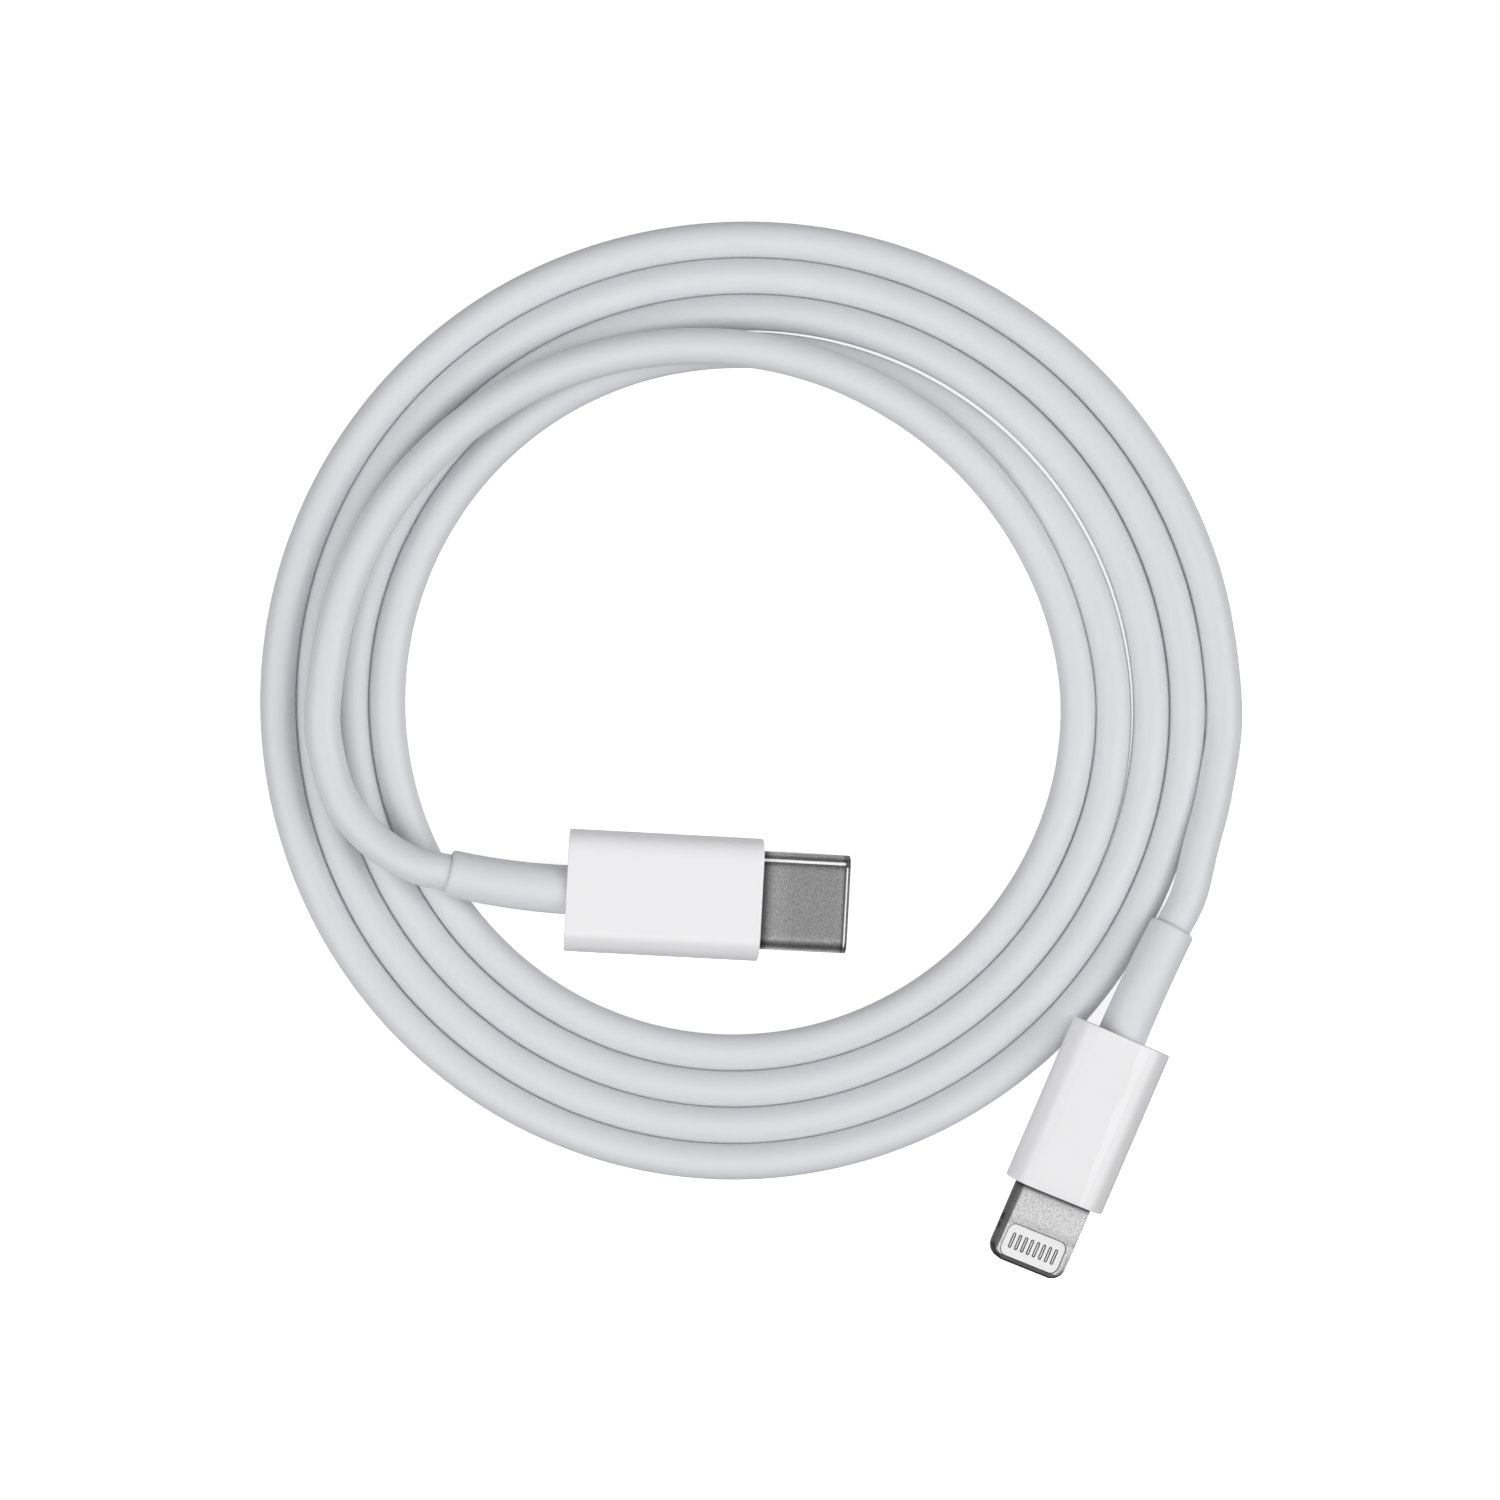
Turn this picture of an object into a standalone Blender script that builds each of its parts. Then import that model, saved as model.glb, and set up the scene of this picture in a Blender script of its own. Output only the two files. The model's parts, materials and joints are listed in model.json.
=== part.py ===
"""Charging cable: one metre of round cord laid in a flat coil, with a USB-C plug and an eight-pin plug.

Metres, +Z up. The cable lies on the plane Z = 0. Each plug is modelled along its own +X axis, from the
housing's rear face at X = 0 to the tip, with the flat of the plug facing +Z, and is laid in place by an
empty. Each plug can bend on its strain relief, about a vertical axis through the middle of the sleeve.
"""

import math

import bmesh
import bpy
from mathutils import Matrix, Vector

MM = 0.001

# ---- cord and coil -------------------------------------------------------------------------------------
CORD_R = 1.5 * MM
TURNS = 4
PITCH = 3.06 * MM  # strand to strand, side by side
COIL_OUTER_R = 41.58 * MM  # centreline of the outer strand, before it steps in
COIL_OVAL = 0.19 * MM  # the coil reaches this much further than a round one in Y, and less in X
STEP_START, STEP_SPAN = math.radians(-15), math.radians(122)  # the part of each turn that steps in
COIL_CENTRE = Vector((-7.13, 29.62, 0.0)) * MM  # puts the origin midway between the two plugs
COIL_SQUEEZE = 0.30 * MM  # the coil's band is this much slimmer than its four strands
TOUCH_GAP = 0.30 * MM
STRAIGHT_ENDS = (0.3 * MM, 1.5 * MM, 3.0 * MM)  # a tube leaves a sleeve or the coil straight, past a gap
ROUTE_STEP = 5.0 * MM  # spacing of the points along a cord tube

# Routes from the coil's centre, in millimetres: up the right side into the coil, and from the coil's inner
# strand over its top and down its left side to the USB-C plug.
LEAD_ROUTE = [(39.2, -12.4, 2.9), (40.5, -7.2, 2.2)]
TAIL_ROUTE = [
    (27.7, 7.4, 1.6),
    (24.6, 14.2, 2.25),
    (20.05, 20.05, 3.4),
    (14.3, 24.7, 4.25),
    (7.5, 28.05, 4.72),
    (0.0, 29.7, 4.82),
    (-7.9, 29.45, 4.82),
    (-15.7, 27.25, 4.82),
    (-22.9, 22.9, 4.82),
    (-28.85, 16.65, 4.82),
    (-32.8, 8.8, 4.82),
    (-34.45, 0.0, 4.82),
    (-34.05, -4.9, 4.85),
    (-32.7, -8.7, 4.95),
    (-30.1, -11.7, 5.05),
]

# ---- both plugs ----------------------------------------------------------------------------------------
SLEEVE_LENGTH = 10.05 * MM
SLEEVE_R_CORD = 1.95 * MM
SLEEVE_R_PLUG = 2.08 * MM
SLEEVE_BORE_R = 1.60 * MM
SLEEVE_STUB = 0.55 * MM  # how far the sleeve reaches into the housing's rear hole
REAR_HOLE_R = 2.22 * MM
REAR_WALL = 0.70 * MM
SIDE_WALL = 0.62 * MM
FRONT_WALL = 0.80 * MM
RIM_ROUNDING = 0.25 * MM
SIDE_ROUNDING = 1.85 * MM  # how far in from each side the flat of the housing starts
CORD_END_REACH = 3.2 * MM  # end of the cord's jacket inside the housing
FERRULE = (1.1 * MM, 3.9 * MM, 1.62 * MM, 1.80 * MM)  # start, end, inner and outer radius
WIRE_R = 0.28 * MM
BOARD_HALF = 0.30 * MM
CAN_WALL = 0.15 * MM

# ---- USB-C plug ----------------------------------------------------------------------------------------
C_LENGTH, C_WIDTH, C_THICK = 16.3 * MM, 10.3 * MM, 5.2 * MM
C_PLACE = Vector((-14.0, -15.80, 3.88)) * MM  # from the coil's centre to the middle of the rear face
C_HEADING, C_PITCH, C_ROLL = math.radians(-3.1), math.radians(4.5), 0.0
C_SLEEVE_BEND = (0.92 * MM, 0.20 * MM)  # offset of the sleeve's cord end, sideways and up
SHELL_WIDTH, SHELL_THICK, SHELL_WALL = 8.25 * MM, 2.40 * MM, 0.25 * MM
SHELL_REACH = 7.4 * MM  # how far the shell stands out of the housing
SHELL_START = 12.3 * MM
CARRIER_WIDTH, CARRIER_THICK = 7.60 * MM, 1.60 * MM
CARRIER_START = 12.7 * MM
CARRIER_RECESS = 0.7 * MM
TONGUE_HALF_W, TONGUE_HALF_T, TONGUE_DEPTH = 3.35 * MM, 0.40 * MM, 5.7 * MM
CONTACT_PITCH = 0.5 * MM
CONTACT_W, CONTACT_T = 0.28 * MM, 0.14 * MM
CONTACT_GROOVE_W = 0.36 * MM
TOP_CONTACTS = (1, 4, 5, 6, 7, 9, 12)
BOTTOM_CONTACTS = (1, 4, 9, 12)

# ---- eight-pin plug ------------------------------------------------------------------------------------
E_LENGTH, E_WIDTH, E_THICK = 14.5 * MM, 8.8 * MM, 5.0 * MM
E_PLACE = Vector((32.61, -28.07, 3.80)) * MM
E_HEADING, E_PITCH, E_ROLL = math.radians(-113.2), math.radians(2.5), math.radians(-15.0)
E_SLEEVE_BEND = (0.35 * MM, -0.70 * MM)
TAB_WIDTH, TAB_THICK, TAB_REACH = 6.7 * MM, 1.5 * MM, 6.7 * MM
TAB_START = 11.2 * MM
TAB_CORNER, TAB_EDGE = 1.0 * MM, 0.22 * MM
NOTCH_FROM_TIP = 3.0 * MM
INSERT_LENGTH, INSERT_WIDTH, INSERT_CORNER = 2.80 * MM, 5.35 * MM, 0.65 * MM
INSERT_FROM_TIP = 0.45 * MM
INSERT_GAP = 0.05 * MM
PAD_LENGTH, PAD_WIDTH, PAD_PITCH = 1.30 * MM, 0.28 * MM, 0.566 * MM
PAD_COUNT = 8


# ---- scene, materials and objects ----------------------------------------------------------------------
def clear_scene():
    for obj in list(bpy.data.objects):
        bpy.data.objects.remove(obj, do_unlink=True)


def new_collection(name):
    made = bpy.data.collections.new(name)
    bpy.context.scene.collection.children.link(made)
    return made


def material(name, colour, roughness, metallic=0.0):
    made = bpy.data.materials.new(name)
    made.use_nodes = True
    made.diffuse_color = (*colour, 1.0)
    shader = made.node_tree.nodes["Principled BSDF"]
    shader.inputs["Base Color"].default_value = (*colour, 1.0)
    shader.inputs["Roughness"].default_value = roughness
    shader.inputs["Metallic"].default_value = metallic
    return made


def add_part(name, mesh, look, parent, bevel=None):
    """A named solid in the cable's collection; bevel is (width, segments) for its sharp edges."""
    obj = bpy.data.objects.new(name, mesh)
    CABLE.objects.link(obj)
    obj.parent = parent
    if not mesh.materials:
        mesh.materials.append(look)
    if bevel:
        modifier = obj.modifiers.new("rounded_edges", "BEVEL")
        modifier.width, modifier.segments = bevel
        modifier.limit_method = "ANGLE"
        modifier.angle_limit = math.radians(50)
    mesh.shade_smooth()
    mesh.set_sharp_from_angle(angle=math.radians(40))
    return obj


def cut(obj, name, mesh):
    """Takes the cutter's mesh, given in the object's own frame, away from the object."""
    cutter = bpy.data.objects.new(name, mesh)
    CUTTERS.objects.link(cutter)
    cutter.parent = obj.parent
    cutter.hide_render = True
    cutter.display_type = "WIRE"
    modifier = obj.modifiers.new(name, "BOOLEAN")
    modifier.operation = "DIFFERENCE"
    modifier.solver = "EXACT"
    modifier.object = cutter


def empty(name, parent, matrix):
    made = bpy.data.objects.new(name, None)
    CABLE.objects.link(made)
    made.empty_display_size = 5 * MM
    made.parent = parent
    made.matrix_local = matrix
    return made


# ---- shapes --------------------------------------------------------------------------------------------
def curve_to_mesh(curve, matrix):
    """The curve's surface as one welded mesh, turned by the matrix; the curve is removed."""
    obj = bpy.data.objects.new("guide_curve", curve)
    bpy.context.scene.collection.objects.link(obj)
    graph = bpy.context.evaluated_depsgraph_get()
    mesh = bpy.data.meshes.new_from_object(obj.evaluated_get(graph))
    bpy.data.objects.remove(obj)
    bpy.data.curves.remove(curve)
    work = bmesh.new()
    work.from_mesh(mesh)
    bmesh.ops.remove_doubles(work, verts=work.verts, dist=1e-6)
    bmesh.ops.transform(work, matrix=matrix, verts=work.verts)
    bmesh.ops.recalc_face_normals(work, faces=work.faces)
    work.to_mesh(mesh)
    work.free()
    return mesh


def add_spline(curve, points, closed):
    spline = curve.splines.new("POLY")
    spline.points.add(len(points) - 1)
    for target, point in zip(spline.points, points):
        target.co = (*point, 1.0) if len(point) == 3 else (*point, 0.0, 1.0)
    spline.use_cyclic_u = closed
    return spline


def extruded(name, outline, depth, matrix):
    """A flat outline, thickened by half the depth to each side of its plane, then turned by the matrix."""
    curve = bpy.data.curves.new(name, "CURVE")
    curve.dimensions = "2D"
    curve.fill_mode = "BOTH"
    curve.extrude = depth / 2
    add_spline(curve, outline, closed=True)
    mesh = curve_to_mesh(curve, matrix)
    mesh.name = name
    return mesh


def along_x(start, end):
    """Turns an outline drawn in Y and Z into a prism from start to end along X."""
    axes = Matrix(((0, 0, 1, 0), (1, 0, 0, 0), (0, 1, 0, 0), (0, 0, 0, 1)))
    return Matrix.Translation(((start + end) / 2, 0, 0)) @ axes


def prism(name, outline, start, end):
    return extruded(name, outline, end - start, along_x(start, end))


def strip(name, centreline, thickness, width):
    """A flat strip bent in X and Z: the centreline's points, thickened in Z and as wide as given in Y."""
    upper = [(x, z + thickness / 2) for x, z in centreline]
    lower = [(x, z - thickness / 2) for x, z in reversed(centreline)]
    return extruded(name, upper + lower, width, Matrix.Rotation(math.radians(90), 4, "X"))


def arc(centre, radii, start, end, steps):
    """Points of an elliptical arc, angles in degrees."""
    points = []
    for i in range(steps + 1):
        angle = math.radians(start + (end - start) * i / steps)
        points.append((centre[0] + radii[0] * math.cos(angle), centre[1] + radii[1] * math.sin(angle)))
    return points


def round_sided(width, thickness, side, steps=8):
    """Flat top and bottom, and an elliptical arc at each side that starts side in from the edge."""
    flat = width / 2 - side
    right = arc((flat, 0), (side, thickness / 2), -90, 90, steps)
    left = arc((-flat, 0), (side, thickness / 2), 90, 270, steps)
    return right + left


def round_cornered(length, width, corner, steps=4):
    x, y = length / 2 - corner, width / 2 - corner
    radii = (corner, corner)
    points = arc((x, y), radii, 0, 90, steps) + arc((-x, y), radii, 90, 180, steps)
    return points + arc((-x, -y), radii, 180, 270, steps) + arc((x, -y), radii, 270, 360, steps)


def circle(radius, steps):
    return arc((0, 0), (radius, radius), 0, 360 - 360 / steps, steps - 1)


def boxes(name, corners):
    """One mesh of separate boxes, each given as its low and its high corner."""
    work = bmesh.new()
    for low, high in corners:
        low, high = Vector(low), Vector(high)
        size = Matrix.Diagonal((*(high - low), 1.0))
        bmesh.ops.create_cube(work, size=1.0, matrix=Matrix.Translation((low + high) / 2) @ size)
    mesh = bpy.data.meshes.new(name)
    work.to_mesh(mesh)
    work.free()
    return mesh


def turned_ring(name, start, end, inner, outer, look, parent, steps=24):
    """A plain sleeve round the X axis, turned from its cross-section by a Screw modifier."""
    profile = [(outer, end), (outer, start), (inner, start), (inner, end)]
    work = bmesh.new()
    corners = [work.verts.new((radius, 0, z)) for radius, z in profile]
    for a, b in zip(corners, corners[1:] + corners[:1]):
        work.edges.new((a, b))
    mesh = bpy.data.meshes.new(name)
    work.to_mesh(mesh)
    work.free()
    obj = add_part(name, mesh, look, parent)
    obj.rotation_euler = (0, math.radians(90), 0)
    screw = obj.modifiers.new("turned", "SCREW")
    screw.steps = screw.render_steps = steps
    screw.use_merge_vertices = True
    screw.merge_threshold = 0.00001
    return obj


def smooth_route(points, step):
    """Points about one step apart on a smooth curve (a Catmull-Rom spline) through the route's points."""
    points = [Vector(p) for p in points]
    ends = [points[0] * 2 - points[1]] + points + [points[-1] * 2 - points[-2]]
    fine = []
    for a, b, c, d in zip(ends, ends[1:], ends[2:], ends[3:]):
        for i in range(20):
            t = i / 20
            bend = (a * 2 - b * 5 + c * 4 - d) * t * t + (b * 3 - a - c * 3 + d) * t * t * t
            fine.append((b * 2 + (c - a) * t + bend) / 2)
    fine.append(points[-1])
    lengths = [0.0]
    for a, b in zip(fine, fine[1:]):
        lengths.append(lengths[-1] + (b - a).length)
    count = max(2, round(lengths[-1] / step))
    route, at = [], 0
    for i in range(count + 1):
        wanted = lengths[-1] * i / count
        while at < len(fine) - 2 and lengths[at + 1] < wanted:
            at += 1
        share = (wanted - lengths[at]) / (lengths[at + 1] - lengths[at])
        route.append(fine[at].lerp(fine[at + 1], min(1.0, share)))
    return route


def tube_curve(name, points, radius, resolution, radii=None):
    curve = bpy.data.curves.new(name, "CURVE")
    curve.dimensions = "3D"
    curve.bevel_depth = radius
    curve.bevel_resolution = resolution
    curve.use_fill_caps = True
    spline = add_spline(curve, points, closed=False)
    for point, scale in zip(spline.points, radii or []):
        point.radius = scale
    return curve


def add_tube(name, points, radius, look, parent, resolution=2):
    """A cord or wire as a curve object, named like its node."""
    obj = bpy.data.objects.new(name, tube_curve(name, points, radius, resolution))
    obj.data.materials.append(look)
    CABLE.objects.link(obj)
    obj.parent = parent
    return obj


# ---- cord ----------------------------------------------------------------------------------------------
def step_in(angle):
    """How many pitches the cord has stepped in, after turning by this angle: one near the start of each turn."""
    turn, rest = divmod(angle - STEP_START, 2 * math.pi)
    part = min(1.0, rest / STEP_SPAN)
    return turn + part * part * (3 - 2 * part)


def coil_radius(angle):
    return COIL_OUTER_R - PITCH * step_in(angle) - COIL_OVAL * math.cos(2 * angle)


def make_cord_coil(look, parent):
    """The four strands that lie side by side, as one flat band swept once round, open at its stepped ends."""
    slot = TOUCH_GAP / 2 / COIL_OUTER_R
    steps = 72
    square_ends = [slot, 2 * slot], [2 * math.pi - 2 * slot, 2 * math.pi - slot]
    middle = []
    for angle in square_ends[0] + [2 * math.pi * i / steps for i in range(1, steps)] + square_ends[1]:
        radius = coil_radius(angle) - PITCH * (TURNS - 1) / 2
        middle.append((radius * math.cos(angle), radius * math.sin(angle), CORD_R))
    width = PITCH * (TURNS - 1) + 2 * CORD_R - COIL_SQUEEZE
    section = bpy.data.curves.new("coil_section", "CURVE")
    section.dimensions = "2D"
    add_spline(section, round_sided(width, 2 * CORD_R, CORD_R, steps=4), closed=True)
    profile = bpy.data.objects.new("coil_section", section)
    CUTTERS.objects.link(profile)
    profile.hide_render = True
    band = bpy.data.curves.new("cord_coil", "CURVE")
    band.dimensions = "3D"
    band.twist_mode = "Z_UP"
    band.bevel_mode = "OBJECT"
    band.bevel_object = profile
    band.use_fill_caps = True
    add_spline(band, middle, closed=False)
    mesh = curve_to_mesh(band, Matrix.Identity(4))
    mesh.name = "cord_coil"
    add_part("cord_coil", mesh, look, parent)


def make_cord_tubes(look, parent, lead_end, tail_end):
    """The two stretches outside the coil; an end is (point, direction) where the cord leaves a sleeve."""
    outer = (Vector((coil_radius(0), 0, CORD_R)), Vector((0, -1, 0)))
    inner = (Vector((coil_radius(2 * math.pi) - PITCH * (TURNS - 1), 0, CORD_R)), Vector((0, 1, 0)))
    for name, start, route, end, step in (
        ("cord_lead", lead_end, LEAD_ROUTE, outer, ROUTE_STEP / 2),
        ("cord_tail", inner, TAIL_ROUTE, tail_end, ROUTE_STEP),
    ):
        leaving = [start[0] + start[1] * distance for distance in STRAIGHT_ENDS]
        arriving = [end[0] + end[1] * distance for distance in reversed(STRAIGHT_ENDS)]
        middle = leaving[1:] + [Vector(p) * MM for p in route] + arriving[:-1]
        points = leaving[:1] + smooth_route(middle, step) + arriving[-1:]
        add_tube(name, points, CORD_R, look, parent)


# ---- pieces that both plugs have -----------------------------------------------------------------------
def sleeve_point(x, bend):
    """The sleeve's and the cord's centreline behind the housing; it bends away towards the cord."""
    share = min(0.0, x / SLEEVE_LENGTH) ** 2
    return Vector((x, bend[0] * share, bend[1] * share))


def sleeve_exit(axis_matrix, bend):
    """Where the cord leaves the sleeve, and the direction in which it leaves, from the coil's centre."""
    end = axis_matrix @ sleeve_point(-SLEEVE_LENGTH, bend)
    before = axis_matrix @ sleeve_point(-SLEEVE_LENGTH * 0.98, bend)
    return end, (end - before).normalized()


def make_sleeve(prefix, bend, look, cord_look, parent):
    """The strain relief, bored for the cord, and the cord's end that runs through it into the housing."""
    steps = 8
    span = SLEEVE_LENGTH + SLEEVE_STUB
    stops = [-SLEEVE_LENGTH + span * i / steps for i in range(steps + 1)]
    taper = [SLEEVE_R_CORD + (SLEEVE_R_PLUG - SLEEVE_R_CORD) * i / steps for i in range(steps + 1)]
    points = [sleeve_point(x, bend) for x in stops]
    scales = [radius / SLEEVE_R_PLUG for radius in taper]
    outer = tube_curve(prefix + "_sleeve_outer", points, SLEEVE_R_PLUG, 8, scales)
    name = prefix + "_strain_relief"
    sleeve = add_part(name, curve_to_mesh(outer, Matrix.Identity(4)), look, parent, bevel=(0.25 * MM, 2))
    reach = [-SLEEVE_LENGTH * 1.05] + stops[1:-1] + [SLEEVE_STUB * 2]
    bore = tube_curve(prefix + "_bore", [sleeve_point(x, bend) for x in reach], SLEEVE_BORE_R, 6)
    cut(sleeve, prefix + "_bore_cutter", curve_to_mesh(bore, Matrix.Identity(4)))
    jacket = [sleeve_point(x, bend) for x in stops] + [Vector((CORD_END_REACH, 0, 0))]
    add_tube(prefix + "_cord_end", jacket, CORD_R, cord_look, parent, resolution=4)


def make_cover(prefix, length, width, thick, front_hole, look, parent):
    """The moulded housing: hollow, with a round hole for the sleeve and a slot for the connector."""
    name = prefix + "_cover"
    body = prism(name, round_sided(width, thick, SIDE_ROUNDING), 0, length)
    cover = add_part(name, body, look, parent, bevel=(RIM_ROUNDING, 3))
    inside = round_sided(width - 2 * SIDE_WALL, thick - 2 * SIDE_WALL, SIDE_ROUNDING - SIDE_WALL)
    cut(cover, prefix + "_cavity", prism("cavity", inside, REAR_WALL, length - FRONT_WALL))
    rear = prism("rear_hole", circle(REAR_HOLE_R, 24), -1 * MM, REAR_WALL + 0.1 * MM)
    cut(cover, prefix + "_rear_hole", rear)
    front = prism("front_hole", front_hole, length - FRONT_WALL - 0.1 * MM, length + 1 * MM)
    cut(cover, prefix + "_front_hole", front)


def make_ferrule(prefix, look, parent):
    start, end, inner, outer = FERRULE
    turned_ring(prefix + "_ferrule", start, end, inner, outer, look, parent)


def make_wires(prefix, looks, board_start, parent):
    """Four insulated wires from the cord's end to the board: two on its top and two underneath."""
    start = CORD_END_REACH + 0.05 * MM
    end = board_start + 1.3 * MM
    seat = BOARD_HALF + WIRE_R + 0.04 * MM
    for (colour, look), (y, side) in zip(looks.items(), ((-1, 1), (1, 1), (-1, -1), (1, -1))):
        first = Vector((start, y * 0.45 * MM, side * 0.45 * MM))
        last = Vector((end, y * 1.2 * MM, side * seat))
        rise = Vector((0.45 * MM, 0, 0))
        points = smooth_route([first, first + rise, last - rise * 3, last], 0.5 * MM)
        add_tube(f"{prefix}_wire_{colour}", points, WIRE_R, look, parent, resolution=1)


def make_board(prefix, start, end, width, look, parent):
    name = prefix + "_board"
    corners = ((start, -width / 2, -BOARD_HALF), (end, width / 2, BOARD_HALF))
    add_part(name, boxes(name, [corners]), look, parent)


def make_chip(name, centre_x, length, width, height, look, parent):
    low = (centre_x - length / 2, -width / 2, BOARD_HALF + 0.03 * MM)
    high = (centre_x + length / 2, width / 2, BOARD_HALF + 0.03 * MM + height)
    add_part(name, boxes(name, [(low, high)]), look, parent, bevel=(0.06 * MM, 1))


def make_shield_can(prefix, start, end, width, thick, look, parent):
    """The folded steel screen round the board, open at both ends."""
    name = prefix + "_shield_can"
    corner = 0.5 * MM
    can = add_part(name, prism(name, round_cornered(width, thick, corner), start, end), look, parent)
    hollow = round_cornered(width - 2 * CAN_WALL, thick - 2 * CAN_WALL, corner - CAN_WALL)
    cut(can, prefix + "_can_hollow", prism("can_hollow", hollow, start - 1 * MM, end + 1 * MM))


# ---- USB-C plug ----------------------------------------------------------------------------------------
def make_usb_c_shell(look, parent):
    """The drawn steel shell: a flat tube with fully rounded sides, open at the tip and at the rear."""
    tip = C_LENGTH + SHELL_REACH
    outline = round_sided(SHELL_WIDTH, SHELL_THICK, SHELL_THICK / 2, steps=10)
    shell = add_part("usb_c_shell", prism("usb_c_shell", outline, SHELL_START, tip), look, parent)
    inner_t = SHELL_THICK - 2 * SHELL_WALL
    inside = round_sided(SHELL_WIDTH - 2 * SHELL_WALL, inner_t, inner_t / 2, steps=10)
    cut(shell, "usb_c_shell_inside", prism("shell_inside", inside, SHELL_START - 1 * MM, tip + 1 * MM))


def contact_y(number):
    return (number - 6.5) * CONTACT_PITCH


def make_usb_c_carrier(look, parent):
    """The moulded insulator: a mouth for the receptacle's tongue, grooves for contacts, and a latch slot."""
    tip = C_LENGTH + SHELL_REACH - CARRIER_RECESS
    outline = round_sided(CARRIER_WIDTH, CARRIER_THICK, CARRIER_THICK / 2)
    body = prism("usb_c_carrier", outline, CARRIER_START, tip)
    carrier = add_part("usb_c_carrier", body, look, parent)
    mouth = [((tip - TONGUE_DEPTH, -TONGUE_HALF_W, -TONGUE_HALF_T), (tip + MM, TONGUE_HALF_W, TONGUE_HALF_T))]
    cut(carrier, "usb_c_mouth", boxes("mouth", mouth))
    grooves = []
    for numbers, side in ((TOP_CONTACTS, 1), (BOTTOM_CONTACTS, -1)):
        for number in numbers:
            y = contact_y(number)
            z = sorted((side * 0.37 * MM, side * 0.70 * MM))
            half = CONTACT_GROOVE_W / 2
            grooves.append(((CARRIER_START - MM, y - half, z[0]), (tip - 0.5 * MM, y + half, z[1])))
    cut(carrier, "usb_c_grooves", boxes("grooves", grooves))
    side_slots = []
    for side in (-1, 1):
        y = sorted((side * 3.28 * MM, side * 4.2 * MM))
        side_slots.append(((CARRIER_START - MM, y[0], -0.20 * MM), (tip - 0.8 * MM, y[1], 0.20 * MM)))
    cut(carrier, "usb_c_side_slots", boxes("side_slots", side_slots))
    crossbar = [((CARRIER_START - 2 * MM, -4.3 * MM, -0.19 * MM), (CARRIER_START + MM, 4.3 * MM, 0.19 * MM))]
    cut(carrier, "usb_c_crossbar_slot", boxes("crossbar_slot", crossbar))


def make_usb_c_latch(look, parent):
    """The flat steel spring: a bar across the back and two arms whose hooks grip the receptacle's tongue."""
    tip = C_LENGTH + SHELL_REACH - CARRIER_RECESS - 1.0 * MM
    back = CARRIER_START + 0.1 * MM
    bar = back + 0.7 * MM
    outer, arm, hook = 3.66 * MM, 0.30 * MM, 0.28 * MM
    one_side = [
        (back, outer),
        (tip, outer),
        (tip, outer - arm),
        (tip - 0.4 * MM, outer - arm - hook),
        (tip - 0.8 * MM, outer - arm),
        (bar, outer - arm),
    ]
    other_side = [(x, -y) for x, y in reversed(one_side)]
    mesh = extruded("usb_c_latch", one_side + other_side, 0.28 * MM, Matrix.Identity(4))
    add_part("usb_c_latch", mesh, look, parent)


def make_usb_c_ground_springs(look, parent):
    """A thin spring plate above and one below the insulator, under the shell."""
    tip = C_LENGTH + SHELL_REACH
    start, end = tip - 4.2 * MM, tip - 1.4 * MM
    for name, side in (("top", 1), ("bottom", -1)):
        z = sorted((side * 0.835 * MM, side * 0.915 * MM))
        corners = [((start, -2.6 * MM, z[0]), (end, 2.6 * MM, z[1]))]
        name = "usb_c_ground_spring_" + name
        add_part(name, boxes(name, corners), look, parent)


def make_usb_c_contacts(look, parent):
    """Spring contacts: a tail on the board, a straight run through the insulator and a bowed tip."""
    mouth = C_LENGTH + SHELL_REACH - CARRIER_RECESS
    run, tail, bow = 0.545 * MM, BOARD_HALF + 0.03 * MM + CONTACT_T / 2, 0.33 * MM
    centreline = [
        (CARRIER_START - 1.9 * MM, tail),
        (CARRIER_START - 0.6 * MM, tail),
        (CARRIER_START - 0.1 * MM, run),
        (mouth - 3.2 * MM, run),
        (mouth - 1.9 * MM, bow),
        (mouth - 1.6 * MM, bow),
        (mouth - 0.8 * MM, run),
    ]
    mesh = strip("usb_c_contact", centreline, CONTACT_T, CONTACT_W)
    for number in TOP_CONTACTS:
        contact = add_part(f"usb_c_contact_a{number}", mesh, look, parent)
        contact.location.y = contact_y(number)
    for number in BOTTOM_CONTACTS:
        contact = add_part(f"usb_c_contact_b{number}", mesh, look, parent)
        contact.rotation_euler.x = math.pi
        contact.location.y = contact_y(number)


def make_usb_c_plug(looks, parent):
    steel, brass = looks["steel"], looks["contact"]
    opening = round_sided(SHELL_WIDTH + 0.2 * MM, SHELL_THICK + 0.2 * MM, SHELL_THICK / 2 + 0.1 * MM)
    make_cover("usb_c", C_LENGTH, C_WIDTH, C_THICK, opening, looks["housing"], parent)
    make_ferrule("usb_c", looks["crimp"], parent)
    board_start = 6.2 * MM
    make_wires("usb_c", looks["wires"], board_start, parent)
    make_board("usb_c", board_start, CARRIER_START - 0.5 * MM, 7.2 * MM, looks["board"], parent)
    make_chip("usb_c_resistor", 9.4 * MM, 1.0 * MM, 0.5 * MM, 0.35 * MM, looks["chip"], parent)
    make_shield_can("usb_c", 5.0 * MM, SHELL_START - 0.2 * MM, 8.2 * MM, 3.4 * MM, steel, parent)
    make_usb_c_shell(steel, parent)
    make_usb_c_carrier(looks["insulator"], parent)
    make_usb_c_latch(steel, parent)
    make_usb_c_ground_springs(steel, parent)
    make_usb_c_contacts(brass, parent)


# ---- eight-pin plug ------------------------------------------------------------------------------------
def insert_centre():
    return E_LENGTH + TAB_REACH - INSERT_FROM_TIP - INSERT_LENGTH / 2


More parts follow.
